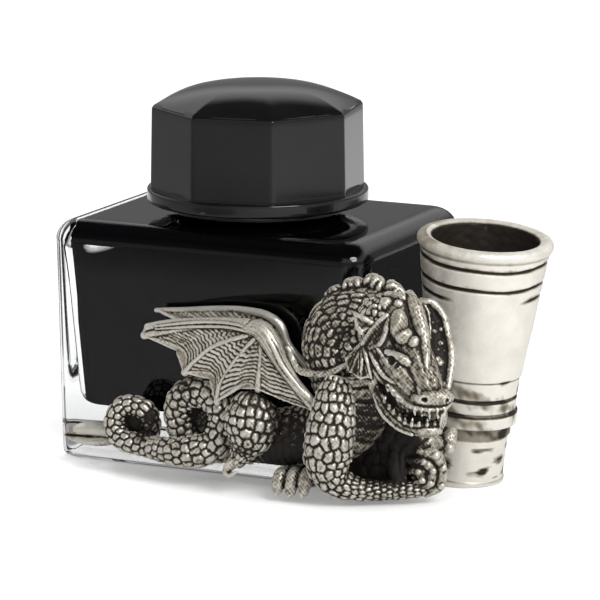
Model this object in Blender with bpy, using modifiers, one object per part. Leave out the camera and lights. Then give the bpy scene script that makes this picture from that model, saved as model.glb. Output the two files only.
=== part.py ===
"""Ink bottle with an octagonal screw cap, and a pewter dragon and pen cup bonded to its front.

Metres, +Z up. The origin is the centre of the bottle's flat underside, +X runs along the bottle's
front face towards the pen cup, and -Y points out of the front face.
Lengths below are in millimetres and are multiplied by MM where they meet Blender.
"""

import math

import bmesh
import bpy
from mathutils import Matrix, Vector

MM = 0.001
GAP = 0.3

# Glass bottle
BODY_WIDTH = 61.5
BODY_DEPTH = 46.0
BODY_HEIGHT = 43.5
BODY_TAPER = 0.7
CORNER_RADIUS = 4.0
SHOULDER_RADIUS = 3.5
FOOT_RADIUS = 1.0
WALL_TOP = 3.0
WALL_FOOT = 7.0
BASE_THICKNESS = 9.6
ROOF_THICKNESS = 3.0
NECK_RADIUS = 15.0
NECK_BORE = 12.5
NECK_TOP = 60.0

# Screw thread, right hand
THREAD_PITCH = 4.0
THREAD_TURNS = 1.25
THREAD_SECTION = 0.9
THREAD_STEPS = 32
BOTTLE_THREAD_START = 50.6
CAP_THREAD_START = BOTTLE_THREAD_START - THREAD_PITCH / 2

# Cap
CAP_BOTTOM = 45.9
FLANGE_TOP = 48.3
FLANGE_RADIUS = 20.0
OCTAGON_FOOT = 19.5
OCTAGON_TOP = 19.2
OCTAGON_HEIGHT = 15.0
OCTAGON_TURN = -11.6
DOME_HEIGHT = 4.0
CAP_BORE = 16.5
LINER_RADIUS = 15.6
LINER_THICKNESS = 1.2

# Ink: a full bottle, up into the neck
INK_LEVEL = 50.0

# Castings: their backs are flat, parallel to the glass, with a bond pad between
PAD_THICKNESS = 0.6
CASTING_FRONT_FACET = -31.3

# Pen cup, leaning towards +X and a little forwards
CUP_FOOT = (43.65, -6.5, 0.0)
CUP_LEAN = 5.7
CUP_NOD = 2.5
CUP_HEIGHT = 44.9
CUP_FLOOR = 6.0

CUT_SIZE = 120.0

PARTS = "ink_bottle"
CUTTERS = "cutters"

PEWTER = (0.62, 0.60, 0.55, 1.0)
DARK_PEWTER = (0.42, 0.40, 0.37, 1.0)


def clear_scene():
    """Remove every object and start the two collections."""
    for ob in list(bpy.data.objects):
        bpy.data.objects.remove(ob, do_unlink=True)
    for name in (PARTS, CUTTERS):
        bpy.context.scene.collection.children.link(bpy.data.collections.new(name))


def to_collection(ob, name):
    """Move an object into one collection only."""
    for owner in list(ob.users_collection):
        owner.objects.unlink(ob)
    bpy.data.collections[name].objects.link(ob)
    return ob


def material(name, colour, roughness, metallic, transmission=0.0):
    """A Principled material."""
    mat = bpy.data.materials.new(name)
    mat.use_nodes = True
    shader = mat.node_tree.nodes["Principled BSDF"]
    shader.inputs["Base Color"].default_value = colour
    shader.inputs["Roughness"].default_value = roughness
    shader.inputs["Metallic"].default_value = metallic
    shader.inputs["Transmission Weight"].default_value = transmission
    return mat


def as_part(ob, name, colour, roughness, metallic, transmission=0.0):
    """Name a finished piece, give it its own material and put it with the parts."""
    ob.name = name
    ob.data.name = name
    ob.data.materials.clear()
    ob.data.materials.append(material(name, colour, roughness, metallic, transmission))
    return to_collection(ob, PARTS)


def as_cutter(ob):
    """Keep a piece as a tool for Boolean modifiers only."""
    ob.hide_render = True
    ob.display_type = "WIRE"
    return to_collection(ob, CUTTERS)


def mesh_object(name, bm):
    """An object from a bmesh."""
    mesh = bpy.data.meshes.new(name)
    bm.to_mesh(mesh)
    bm.free()
    ob = bpy.data.objects.new(name, mesh)
    bpy.context.scene.collection.objects.link(ob)
    return ob


def boolean(ob, tool, operation):
    """Join, cut or intersect with a tool that stays behind as a cutter."""
    as_cutter(tool)
    mod = ob.modifiers.new(tool.name, "BOOLEAN")
    mod.operation = operation
    mod.solver = "EXACT"
    mod.object = tool
    return ob


def frozen(ob):
    """Replace an object by the mesh that its modifiers or its curve make."""
    graph = bpy.context.evaluated_depsgraph_get()
    mesh = bpy.data.meshes.new_from_object(ob.evaluated_get(graph))
    bm = bmesh.new()
    bm.from_mesh(mesh)
    bmesh.ops.remove_doubles(bm, verts=bm.verts, dist=0.00001)
    bm.to_mesh(mesh)
    bm.free()
    solid = bpy.data.objects.new(ob.name + "_mesh", mesh)
    solid.matrix_world = ob.matrix_world.copy()
    bpy.context.scene.collection.objects.link(solid)
    bpy.data.objects.remove(ob, do_unlink=True)
    return solid


def lathe(name, profile, steps):
    """Turn a profile of (radius, height) about Z; its outer side runs from top to bottom."""
    mesh = bpy.data.meshes.new(name)
    points = [(r * MM, 0.0, z * MM) for r, z in profile]
    edges = [(i, i + 1) for i in range(len(points) - 1)]
    mesh.from_pydata(points, edges, [])
    ob = bpy.data.objects.new(name, mesh)
    bpy.context.scene.collection.objects.link(ob)
    screw = ob.modifiers.new("turn", "SCREW")
    screw.axis = "Z"
    screw.steps = steps
    screw.render_steps = steps
    screw.use_merge_vertices = True
    screw.merge_threshold = 0.00001
    return ob


def shade_round(ob, angle=35.0):
    """Smooth shading that keeps the sharp edges."""
    ob.data.shade_smooth()
    ob.data.set_sharp_from_angle(angle=math.radians(angle))
    return ob


def block(name, low, high):
    """A box between two corners."""
    bpy.ops.mesh.primitive_cube_add(size=1.0)
    ob = bpy.context.object
    ob.name = name
    size = [(b - a) * MM for a, b in zip(low, high)]
    centre = [(a + b) / 2 * MM for a, b in zip(low, high)]
    ob.data.transform(Matrix.Diagonal((*size, 1.0)))
    ob.location = centre
    return ob


def half_space(name, point, normal):
    """A large cube with one face through a point, on the side that the normal points to."""
    bpy.ops.mesh.primitive_cube_add(size=CUT_SIZE * MM)
    ob = bpy.context.object
    ob.name = name
    way = Vector(normal).normalized()
    ob.rotation_euler = way.to_track_quat("Z", "Y").to_euler()
    ob.location = Vector(point) * MM + way * CUT_SIZE * MM / 2
    return ob


def trim(ob, point, normal):
    """Cut off what lies beyond a plane."""
    return boolean(ob, half_space(ob.name + "_trim", point, normal), "DIFFERENCE")


def smooth_path(stations, per_span):
    """Catmull-Rom points through stations of any number of values."""
    path = []
    last = len(stations) - 1
    for i in range(last):
        before = stations[max(i - 1, 0)]
        start, end = stations[i], stations[i + 1]
        after = stations[min(i + 2, last)]
        for step in range(per_span):
            t = step / per_span
            path.append(tuple(
                0.5 * (2 * b + (c - a) * t + (2 * a - 5 * b + 4 * c - d) * t * t
                       + (3 * b - a - 3 * c + d) * t ** 3)
                for a, b, c, d in zip(before, start, end, after)))
    path.append(tuple(stations[last]))
    return path


def tube(name, path, resolution=2):
    """A solid round limb through (x, y, z, radius) points."""
    curve = bpy.data.curves.new(name, "CURVE")
    curve.dimensions = "3D"
    curve.bevel_depth = MM
    curve.bevel_resolution = resolution
    curve.use_fill_caps = True
    spline = curve.splines.new("POLY")
    spline.points.add(len(path) - 1)
    for point, (x, y, z, radius) in zip(spline.points, path):
        point.co = (x * MM, y * MM, z * MM, 1.0)
        point.radius = radius
    ob = bpy.data.objects.new(name, curve)
    bpy.context.scene.collection.objects.link(ob)
    return frozen(ob)


def plate(name, outline, front_y, thickness):
    """A flat plate in a plane of constant y, from an outline of (x, z) points."""
    curve = bpy.data.curves.new(name, "CURVE")
    curve.dimensions = "2D"
    curve.fill_mode = "BOTH"
    curve.extrude = thickness / 2 * MM
    spline = curve.splines.new("POLY")
    spline.points.add(len(outline) - 1)
    for point, (x, z) in zip(spline.points, outline):
        point.co = (x * MM, z * MM, 0.0, 1.0)
    spline.use_cyclic_u = True
    ob = bpy.data.objects.new(name, curve)
    bpy.context.scene.collection.objects.link(ob)
    ob.rotation_euler = (math.radians(90), 0.0, 0.0)
    ob.location = (0.0, (front_y + thickness / 2) * MM, 0.0)
    bpy.context.view_layer.update()
    return frozen(ob)


def ellipsoid(name, centre, radii, tilt=0.0, segments=16, rings=10):
    """A stretched sphere, tilted about Y by an angle in degrees."""
    bpy.ops.mesh.primitive_uv_sphere_add(segments=segments, ring_count=rings, radius=1.0)
    ob = bpy.context.object
    ob.name = name
    ob.data.transform(Matrix.Diagonal((*(r * MM for r in radii), 1.0)))
    ob.rotation_euler = (0.0, math.radians(tilt), 0.0)
    ob.location = [c * MM for c in centre]
    return ob


def helix(name, radius, start):
    """A round thread ridge on a cylinder, running out at both ends."""
    count = int(THREAD_TURNS * THREAD_STEPS)
    path = []
    for i in range(count + 1):
        angle = 2 * math.pi * i / THREAD_STEPS
        fade = min(i, count - i, 3) / 3
        sunk = (1 - fade) * THREAD_SECTION * 0.7
        inward = -sunk if radius < CAP_BORE else sunk
        reach = radius + inward
        path.append((reach * math.cos(angle), reach * math.sin(angle),
                     start + THREAD_PITCH * i / THREAD_STEPS,
                     THREAD_SECTION * (0.45 + 0.55 * fade)))
    return tube(name, path)


def rounded_box(name, width, depth, low, high, taper, corner, top_round, foot_round, segments):
    """A box whose foot is narrower by taper on each side, with all its edges rounded."""
    bm = bmesh.new()
    bmesh.ops.create_cube(bm, size=1.0)
    for v in bm.verts:
        shrink = taper if v.co.z < 0 else 0.0
        v.co.x = math.copysign(width / 2 - shrink, v.co.x) * MM
        v.co.y = math.copysign(depth / 2 - shrink, v.co.y) * MM
        v.co.z = (high if v.co.z > 0 else low) * MM

    def level_edges(level):
        return [e for e in bm.edges if all(abs(v.co.z - level * MM) < 1e-6 for v in e.verts)]

    upright = [e for e in bm.edges if abs(e.verts[0].co.z - e.verts[1].co.z) > 1e-6]
    bmesh.ops.bevel(bm, geom=upright, offset=corner * MM, segments=segments, affect="EDGES",
                    profile=0.5)
    bmesh.ops.bevel(bm, geom=level_edges(high), offset=top_round * MM, segments=segments,
                    affect="EDGES", profile=0.5)
    bmesh.ops.bevel(bm, geom=level_edges(low), offset=foot_round * MM, segments=2,
                    affect="EDGES", profile=0.5)
    return mesh_object(name, bm)


def glass_front(z):
    """The y of the bottle's front face at height z."""
    return -(BODY_DEPTH / 2 - BODY_TAPER * (1 - z / BODY_HEIGHT))


def make_cavity(name, inset, low, high):
    """The hollow's shape, or the ink's when it is inset from the glass."""
    width = BODY_WIDTH - 2 * (WALL_TOP + inset)
    depth = BODY_DEPTH - 2 * (WALL_TOP + inset)
    taper = BODY_TAPER + WALL_FOOT - WALL_TOP
    return rounded_box(name, width, depth, low, high, taper, 3.0 - inset, 2.5, 2.0, 4)


def make_bottle():
    """Thick glass bottle: body, threaded neck, and the hollow open through the neck."""
    ob = rounded_box("bottle_body", BODY_WIDTH, BODY_DEPTH, 0.0, BODY_HEIGHT, BODY_TAPER,
                     CORNER_RADIUS, SHOULDER_RADIUS, FOOT_RADIUS, 5)
    lip = 0.8
    neck = lathe("neck_outer", [
        (0.0, NECK_TOP), (NECK_RADIUS - lip, NECK_TOP), (NECK_RADIUS, NECK_TOP - lip),
        (NECK_RADIUS, BODY_HEIGHT - 2), (0.0, BODY_HEIGHT - 2)], 48)
    bore = lathe("neck_bore", [
        (0.0, NECK_TOP + 5), (NECK_BORE, NECK_TOP + 5), (NECK_BORE, BODY_HEIGHT - 8),
        (0.0, BODY_HEIGHT - 8)], 48)
    boolean(ob, neck, "UNION")
    boolean(ob, helix("neck_thread", NECK_RADIUS, BOTTLE_THREAD_START), "UNION")
    boolean(ob, make_cavity("hollow", 0.0, BASE_THICKNESS, BODY_HEIGHT - ROOF_THICKNESS),
            "DIFFERENCE")
    boolean(ob, bore, "DIFFERENCE")
    as_part(ob, "glass_bottle", (0.95, 0.97, 0.97, 1.0), 0.02, 0.0, 1.0)
    return shade_round(ob)


def make_ink():
    """The ink, clear of the glass by the standard gap, with its level inside the neck."""
    roof = BODY_HEIGHT - ROOF_THICKNESS - GAP
    ob = make_cavity("ink_body", GAP, BASE_THICKNESS + GAP, roof)
    column = lathe("ink_in_neck", [
        (0.0, INK_LEVEL), (NECK_BORE - GAP, INK_LEVEL), (NECK_BORE - GAP, roof - 3),
        (0.0, roof - 3)], 48)
    boolean(ob, column, "UNION")
    as_part(ob, "ink_fill", (0.004, 0.004, 0.006, 1.0), 0.05, 0.0)
    return shade_round(ob)


def make_cap():
    """Octagonal cap: domed top, round flange, threaded bore."""
    octagon_top = FLANGE_TOP + OCTAGON_HEIGHT
    apex = octagon_top + DOME_HEIGHT
    bm = bmesh.new()
    bmesh.ops.create_cone(bm, cap_ends=True, segments=8, radius1=OCTAGON_FOOT * MM,
                          radius2=OCTAGON_TOP * MM, depth=(apex + 2 - FLANGE_TOP) * MM)
    bmesh.ops.rotate(bm, verts=bm.verts, matrix=Matrix.Rotation(
        math.radians(OCTAGON_TURN), 3, "Z"))
    bmesh.ops.translate(bm, verts=bm.verts, vec=(0, 0, (apex + 2 + FLANGE_TOP) / 2 * MM))
    ob = mesh_object("cap_body", bm)

    rings = 8
    dome = [(OCTAGON_FOOT + 1, octagon_top - 0.4)]
    arc = []
    for i in range(rings + 1):
        share = i / rings
        arc.append((OCTAGON_TOP * share, apex - DOME_HEIGHT * share ** 3))
    dome_profile = arc + dome + [(OCTAGON_FOOT + 1, CAP_BOTTOM - 1), (0.0, CAP_BOTTOM - 1)]
    boolean(ob, lathe("cap_dome", dome_profile, 48), "INTERSECT")

    edge = 0.5
    flange = lathe("cap_flange", [
        (0.0, FLANGE_TOP + 1), (OCTAGON_TOP * 0.9, FLANGE_TOP + 1),
        (OCTAGON_TOP * 0.9, FLANGE_TOP), (FLANGE_RADIUS - edge, FLANGE_TOP),
        (FLANGE_RADIUS, FLANGE_TOP - edge), (FLANGE_RADIUS, CAP_BOTTOM + edge),
        (FLANGE_RADIUS - edge, CAP_BOTTOM), (0.0, CAP_BOTTOM)], 48)
    boolean(ob, flange, "UNION")

    ceiling = NECK_TOP + GAP + LINER_THICKNESS + GAP
    bore = lathe("cap_bore", [
        (0.0, ceiling), (CAP_BORE - 1, ceiling), (CAP_BORE, ceiling - 1),
        (CAP_BORE, CAP_BOTTOM - 2), (0.0, CAP_BOTTOM - 2)], 48)
    boolean(ob, bore, "DIFFERENCE")
    boolean(ob, helix("cap_thread", CAP_BORE, CAP_THREAD_START), "UNION")
    as_part(ob, "cap_shell", (0.012, 0.012, 0.012, 1.0), 0.12, 0.0)
    return shade_round(ob)


def make_liner():
    """Soft sealing disc between the cap and the neck's lip."""
    low = NECK_TOP + GAP
    high = low + LINER_THICKNESS
    ob = lathe("liner_body", [
        (0.0, high), (LINER_RADIUS - 0.2, high), (LINER_RADIUS, high - 0.2),
        (LINER_RADIUS, low + 0.2), (LINER_RADIUS - 0.2, low), (0.0, low)], 40)
    as_part(ob, "cap_liner", (0.75, 0.74, 0.70, 1.0), 0.6, 0.0)
    return shade_round(ob)


def groove(radius, z, depth=0.45, half=0.35):
    """Profile points of a V groove in a wall of that radius."""
    return [(radius, z + half), (radius - depth, z), (radius, z - half)]


def make_cup():
    """Tapered pen cup: rolled lip, three grooves, two bands and a foot, blind bore."""
    wall = [(0.0, CUP_FLOOR), (5.0, CUP_FLOOR), (5.4, CUP_FLOOR + 0.5), (9.1, CUP_HEIGHT - 1.0)]
    lip = [(9.8, CUP_HEIGHT - 0.2), (10.8, CUP_HEIGHT), (11.7, CUP_HEIGHT - 0.3),
           (12.0, CUP_HEIGHT - 0.9), (11.9, CUP_HEIGHT - 1.6), (11.4, CUP_HEIGHT - 2.0)]
    upper = groove(11.2, 41.2) + groove(10.75, 37.7) + groove(10.45, 35.3)
    bands = [(8.6, 21.1), (8.6, 20.5), (8.25, 20.2), (8.0, 17.1), (7.5, 16.8), (7.9, 16.4),
             (7.8, 14.4), (7.5, 14.1), (8.2, 13.8), (8.1, 11.5), (7.2, 11.2), (7.0, 9.9), (7.2, 9.6)]
    foot = [(6.7, 1.4), (6.9, 1.1), (6.8, -1.0), (0.0, -1.0)]
    ob = lathe("cup_body", wall + lip + upper + bands + foot, 36)
    ob.location = [c * MM for c in CUP_FOOT]
    ob.rotation_euler = (math.radians(CUP_NOD), math.radians(CUP_LEAN), 0.0)
    trim(ob, (0, 0, 0), (0, 0, -1))
    as_part(ob, "pen_cup", (0.80, 0.78, 0.70, 1.0), 0.3, 1.0)
    return shade_round(ob)


def flatten_back(ob):
    """Cut a casting's back flat and parallel to the glass, leaving room for the bond pad."""
    stand_off = PAD_THICKNESS + 2 * GAP
    lean = math.atan2(BODY_TAPER, BODY_HEIGHT)
    return trim(ob, (0, glass_front(0.0) - stand_off, 0), (0, math.cos(lean), math.sin(lean)))


def casting(ob, name, colour=PEWTER):
    """Finish a pewter casting."""
    as_part(ob, name, colour, 0.38, 1.0)
    return shade_round(ob, 50.0)


def make_torso():
    """Barrel of the body from rump to shoulder, flat behind and where the limbs join it."""
    path = smooth_path([
        (9.0, -27.2, 7.6, 3.4), (15.0, -27.8, 9.2, 4.6), (21.0, -28.0, 10.2, 5.4),
        (26.5, -28.0, 11.4, 6.0), (30.6, -27.9, 14.4, 6.3), (32.2, -27.8, 19.0, 6.3),
        (32.2, -27.8, 24.0, 6.3)], 3)
    ob = tube("torso_body", path, 4)
    flatten_back(ob)
    trim(ob, (0, CASTING_FRONT_FACET, 0), (0, -1, 0))
    trim(ob, (11.3, 0, 0), (-1, 0, 0))
    trim(ob, (0, 0, 20.4), (0, 0, 1))
    return casting(ob, "dragon_torso")


HEAD_JOINT = (42.3, -29.9, 30.9)
HEAD_WAY = Vector((0.52, -0.34, -0.78)).normalized()


def make_neck():
    """Arched neck with a row of rounded plates along its crest."""
    path = smooth_path([
        (32.0, -27.8, 17.0, 6.2), (30.0, -27.6, 23.0, 6.2), (28.4, -27.5, 28.6, 6.0),
        (30.0, -27.4, 32.8, 5.6), (34.2, -27.6, 34.9, 5.2), (39.0, -28.4, 33.6, 4.9),
        (43.2, -30.5, 29.6, 4.7)], 3)
    ob = tube("neck_body", path, 4)
    for i, (x, z, tilt) in enumerate(((26.6, 37.4, -50), (31.4, 39.8, -20),
                                      (36.4, 40.2, 12), (40.8, 38.6, 38))):
        boolean(ob, ellipsoid(f"plate_{i}", (x, -27.5, z), (2.5, 1.1, 1.6), tilt, 10, 6), "UNION")
    flatten_back(ob)
    trim(ob, (0, 0, 20.7), (0, 0, -1))
    trim(ob, HEAD_JOINT, HEAD_WAY)
    return casting(ob, "dragon_neck")


def make_head():
    """Head pointing down and forward, with an open jaw and the fin behind the far ear."""
    skull = tube("head_body", smooth_path([
        (41.0, -29.1, 32.8, 4.6), (43.7, -31.7, 28.2, 5.0), (45.6, -33.4, 24.8, 4.2),
        (47.3, -34.7, 21.6, 3.2), (48.2, -35.4, 20.2, 1.8)], 3))
    jaw = tube("head_jaw", smooth_path([
        (43.6, -32.2, 25.2, 2.6), (44.6, -32.8, 19.2, 2.2), (46.4, -33.6, 15.3, 1.9),
        (47.4, -34.2, 13.9, 1.0)], 2))
    boolean(skull, jaw, "UNION")
    boolean(skull, ellipsoid("head_fin", (46.9, -29.0, 28.2), (3.6, 0.9, 8.2), 0, 12, 8), "UNION")
    trim(skull, Vector(HEAD_JOINT) + HEAD_WAY * GAP, -HEAD_WAY)
    return casting(skull, "dragon_head")


def scallops(tips, sag, steps):
    """Points along a row of shallow arcs that hang between neighbouring tips."""
    points = []
    for (x0, z0), (x1, z1) in zip(tips[:-1], tips[1:]):
        for i in range(steps):
            t = i / steps
            bow = sag * 4 * t * (1 - t)
            points.append((x0 + (x1 - x0) * t, z0 + (z1 - z0) * t + bow))
    points.append(tips[-1])
    return points


WING_FRONT = -33.5
WING_ELBOW = (17.3, 31.0)
WING_ROOT = (25.9, 17.8)
WING_TIPS = [(-6.7, 26.6), (1.9, 20.4), (8.6, 16.8), (16.4, 19.6), (25.2, 16.9)]


def make_near_wing():
    """Folded wing in front: membrane with a scalloped edge, an arm and four fingers."""
    ob = plate("near_membrane", [WING_ELBOW] + scallops(WING_TIPS, 1.6, 4) + [(26.3, 18.2)],
               WING_FRONT, 1.0)
    y = WING_FRONT + 0.6
    for i, (x, z) in enumerate(WING_TIPS[:4]):
        ends = [(WING_ELBOW[0], y, WING_ELBOW[1], 1.0), (x - 0.1, y, z, 0.65)]
        boolean(ob, tube(f"near_finger_{i}", ends), "UNION")
    arm = [(16.6, y, 31.6, 1.2), (*WING_ROOT[:1], y, WING_ROOT[1], 1.25)]
    boolean(ob, tube("near_arm", arm), "UNION")
    return casting(ob, "dragon_near_wing")


def make_far_wing():
    """Wing behind, close to the glass."""
    outline = [(16.5, 31.2)] + scallops([(-7.0, 30.0), (2.0, 24.0), (10.0, 21.5), (21.6, 20.6)],
                                        1.2, 4) + [(22.2, 22.4)]
    ob = plate("far_membrane", outline, -25.4, 1.0)
    y = -24.9
    boolean(ob, tube("far_edge", [(16.6, y, 31.2, 0.9), (-7.2, y, 30.0, 0.7)]), "UNION")
    boolean(ob, tube("far_arm", [(16.2, y, 31.4, 1.0), (21.6, y, 22.4, 0.95)]), "UNION")
    return casting(ob, "dragon_far_wing", DARK_PEWTER)


def make_near_foreleg():
    """Near foreleg: upper arm in front of the chest, forearm on the ground, paw at the cup."""
    ob = tube("near_foreleg_body", smooth_path([
        (31.4, -33.4, 22.0, 2.2), (31.3, -34.8, 17.5, 3.9), (30.8, -35.2, 12.5, 4.6),
        (30.6, -34.8, 7.6, 4.3), (33.0, -33.2, 4.7, 3.5), (37.2, -30.2, 3.7, 3.0),
        (40.6, -26.8, 3.9, 3.1), (42.4, -23.0, 4.7, 3.7), (42.8, -19.9, 6.2, 3.3),
        (43.2, -17.4, 8.8, 1.4)], 3))
    seat = CASTING_FRONT_FACET - GAP
    boolean(ob, block("chest_seat", (20, seat, 7.3), (36, -15, 30)), "DIFFERENCE")
    boolean(ob, block("elbow_seat", (20, seat, -5), (31.5, -15, 30.5)), "DIFFERENCE")
    return casting(ob, "dragon_near_foreleg")


def make_far_foreleg():
    """Far foreleg lying under the chest, with its paw forward."""
    ob = tube("far_foreleg_body", smooth_path([
        (27.5, -26.9, 2.4, 1.6), (24.6, -27.2, 2.2, 1.8), (21.6, -27.8, 2.2, 1.9),
        (19.2, -28.8, 2.1, 1.8), (17.4, -29.8, 1.7, 1.2)], 3))
    return casting(ob, "dragon_far_foreleg")


def make_hind_leg():
    """Round haunch against the flank, with a short shank and foot."""
    ob = tube("hind_leg_body", smooth_path([
        (16.2, -33.0, 17.2, 1.6), (15.9, -33.4, 14.6, 4.0), (15.5, -33.6, 11.8, 4.7),
        (14.2, -33.8, 8.4, 3.6), (12.8, -34.2, 5.6, 2.4), (11.2, -34.8, 3.8, 1.9),
        (9.4, -35.4, 3.2, 1.1)], 3))
    trim(ob, (0, CASTING_FRONT_FACET - GAP, 0), (0, 1, 0))
    return casting(ob, "dragon_hind_leg")


def loop_stations(centre, radius, y_from, y_to, r_from, r_to, count):
    """Stations of one clockwise loop, from its lowest point round to the same point."""
    out = []
    for i in range(count + 1):
        t = i / count
        angle = -math.pi / 2 - 2 * math.pi * t
        out.append((centre[0] + radius * math.cos(angle), y_from + (y_to - y_from) * t,
                    centre[1] + radius * math.sin(angle), r_from + (r_to - r_from) * t))
    return out


TAIL_JOINT = -5.0


def make_tail_coil():
    """Thick part of the tail with one full coil."""
    path = smooth_path([(13.0, -26.3, 7.4, 2.9), (7.5, -26.1, 6.1, 2.6)], 3)
    path += loop_stations((2.8, 11.3), 5.2, -26.0, -32.3, 2.6, 2.4, 20)
    path += smooth_path([(0.6, -32.3, 6.0, 2.35), (-3.0, -31.6, 5.9, 2.15),
                         (-7.0, -30.8, 5.9, 2.0)], 2)
    ob = tube("tail_coil_body", path)
    flatten_back(ob)
    trim(ob, (11.0, 0, 0), (1, 0, 0))
    trim(ob, (TAIL_JOINT, 0, 0), (-1, 0, 0))
    return casting(ob, "dragon_tail_coil")


def make_tail_end():
    """Thin end of the tail: a small loop and a leaf-shaped tip."""
    path = [(-3.0, -31.4, 6.0, 2.0), (-7.0, -30.9, 6.0, 1.85)]
    path += loop_stations((-10.6, 9.4), 3.1, -30.6, -26.9, 1.75, 1.5, 16)
    path += smooth_path([(-13.4, -26.6, 6.0, 1.4), (-16.6, -26.5, 5.6, 1.2),
                         (-18.6, -26.5, 5.6, 1.3), (-21.4, -26.5, 5.8, 1.9),
                         (-24.0, -26.5, 5.7, 1.2), (-26.0, -26.5, 5.5, 0.3)], 2)
    ob = tube("tail_end_body", path)
    trim(ob, (TAIL_JOINT - GAP, 0, 0), (1, 0, 0))
    return casting(ob, "dragon_tail_end")


def make_pad(name, low, high):
    """Adhesive pad on the glass, between corners given as (x, z)."""
    middle = (low[1] + high[1]) / 2
    lean = math.atan2(BODY_TAPER, BODY_HEIGHT)
    front = glass_front(middle) - GAP - PAD_THICKNESS
    ob = block(name + "_body", (low[0], front, low[1]), (high[0], front + PAD_THICKNESS, high[1]))
    ob.rotation_euler = (lean, 0.0, 0.0)
    bevel = ob.modifiers.new("edge", "BEVEL")
    bevel.width = 0.15 * MM
    bevel.segments = 1
    return as_part(ob, name, (0.55, 0.52, 0.42, 1.0), 0.7, 0.0)


def make_pads():
    """The bond pads behind torso, neck and tail."""
    make_pad("torso_bond_pad", (15.5, 7.2), (26.5, 12.4))
    make_pad("neck_bond_pad", (24.4, 25.4), (26.8, 31.6))
    make_pad("tail_bond_pad", (3.5, 4.8), (9.5, 7.4))


def main():
    clear_scene()
    make_bottle()
    make_ink()
    make_cap()
    make_liner()
    make_cup()
    make_torso()
    make_neck()
    make_head()
    make_near_wing()
    make_far_wing()
    make_near_foreleg()
    make_far_foreleg()
    make_hind_leg()
    make_tail_coil()
    make_tail_end()
    make_pads()


main()
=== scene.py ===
"""Looks for the ink bottle: glass, ink, cap, pen cup and an antiqued pewter dragon.

Lengths are millimetres in the CAD frame (origin under the bottle, +Z up, -Y out of its front face)
and are multiplied by MM where a mesh is made.
"""

import math

import bmesh
import bpy
import numpy as np
from mathutils import Matrix, Vector


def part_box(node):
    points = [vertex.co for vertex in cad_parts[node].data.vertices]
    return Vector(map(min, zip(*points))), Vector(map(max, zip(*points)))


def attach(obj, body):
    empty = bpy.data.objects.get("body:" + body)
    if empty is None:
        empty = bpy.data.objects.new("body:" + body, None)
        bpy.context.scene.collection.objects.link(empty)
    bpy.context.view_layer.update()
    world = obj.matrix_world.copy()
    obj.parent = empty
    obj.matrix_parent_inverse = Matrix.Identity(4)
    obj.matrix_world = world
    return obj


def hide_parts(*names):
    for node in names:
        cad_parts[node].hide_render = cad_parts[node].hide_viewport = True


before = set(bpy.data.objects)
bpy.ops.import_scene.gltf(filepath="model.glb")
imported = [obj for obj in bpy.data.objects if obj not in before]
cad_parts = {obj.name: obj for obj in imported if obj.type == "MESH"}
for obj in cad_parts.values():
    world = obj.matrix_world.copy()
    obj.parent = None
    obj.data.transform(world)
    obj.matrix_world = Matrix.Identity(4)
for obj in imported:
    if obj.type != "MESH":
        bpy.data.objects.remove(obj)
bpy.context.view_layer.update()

MM = 0.001


# ---- sizes taken from the frame ----

def node_box(node):
    """Lowest and highest corner of a CAD node, in millimetres."""
    low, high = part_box(node)
    return np.array(low) / MM, np.array(high) / MM


BOTTLE_HALF_X, BOTTLE_HALF_Y, NECK_TOP = node_box("glass_bottle")[1]
CAP_BOTTOM, CAP_TOP = (corner[2] for corner in node_box("cap_shell"))
LINER_TOP = node_box("cap_liner")[1][2]
INK_FLOOR, INK_LEVEL = (corner[2] for corner in node_box("ink_fill"))


# ---- mesh helpers ----

def link_new(name, data):
    """A new object in the scene."""
    ob = bpy.data.objects.new(name, data)
    bpy.context.scene.collection.objects.link(ob)
    return ob


def make_object(name, points, faces):
    """A smooth mesh object from millimetre points and a list of faces."""
    mesh = bpy.data.meshes.new(name)
    mesh.from_pydata((np.asarray(points) * MM).tolist(), [], faces)
    mesh.validate()
    mesh.shade_smooth()
    return link_new(name, mesh)


def stand_for(ob, node, body, material):
    """Dress a piece, let it ride its body and put it in the place of a CAD node."""
    ob.data.materials.append(material)
    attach(ob, body)
    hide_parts(node)


def skin(rings):
    """Points and faces of a closed surface through rings of equal length, with a pole at either end."""
    rings = np.asarray(rings, float)
    count, around = rings.shape[:2]
    points = rings.reshape(-1, 3)
    faces = []
    for i in range(count - 1):
        a = i * around
        for j in range(around):
            k = (j + 1) % around
            faces.append((a + j, a + k, a + around + k, a + around + j))
    tip = count * around
    last = tip - around
    for j in range(around):
        k = (j + 1) % around
        faces.append((k, j, tip))
    for j in range(around):
        k = (j + 1) % around
        faces.append((last + j, last + k, tip + 1))
    return np.vstack([points, rings[0].mean(0), rings[-1].mean(0)]), faces


def outward(ob):
    """Turn the faces outwards."""
    bm = bmesh.new()
    bm.from_mesh(ob.data)
    bmesh.ops.recalc_face_normals(bm, faces=bm.faces)
    if bm.calc_volume(signed=True) < 0:
        bmesh.ops.reverse_faces(bm, faces=bm.faces)
    bm.to_mesh(ob.data)
    bm.free()
    return ob


def waves(points, wavelength, seed):
    """Smooth noise from -1 to 1 made of plane waves, the same on every run."""
    rng = np.random.default_rng(seed)
    total = np.zeros(len(points))
    for octave in range(3):
        for _ in range(5):
            way = rng.normal(size=3)
            way *= 2 * math.pi * 2 ** octave / (wavelength * np.linalg.norm(way))
            total += np.sin(points @ way + rng.uniform(0, 6.28)) / (2 ** octave * 2.6)
    return total / 1.8


# ---- node material helpers ----

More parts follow.
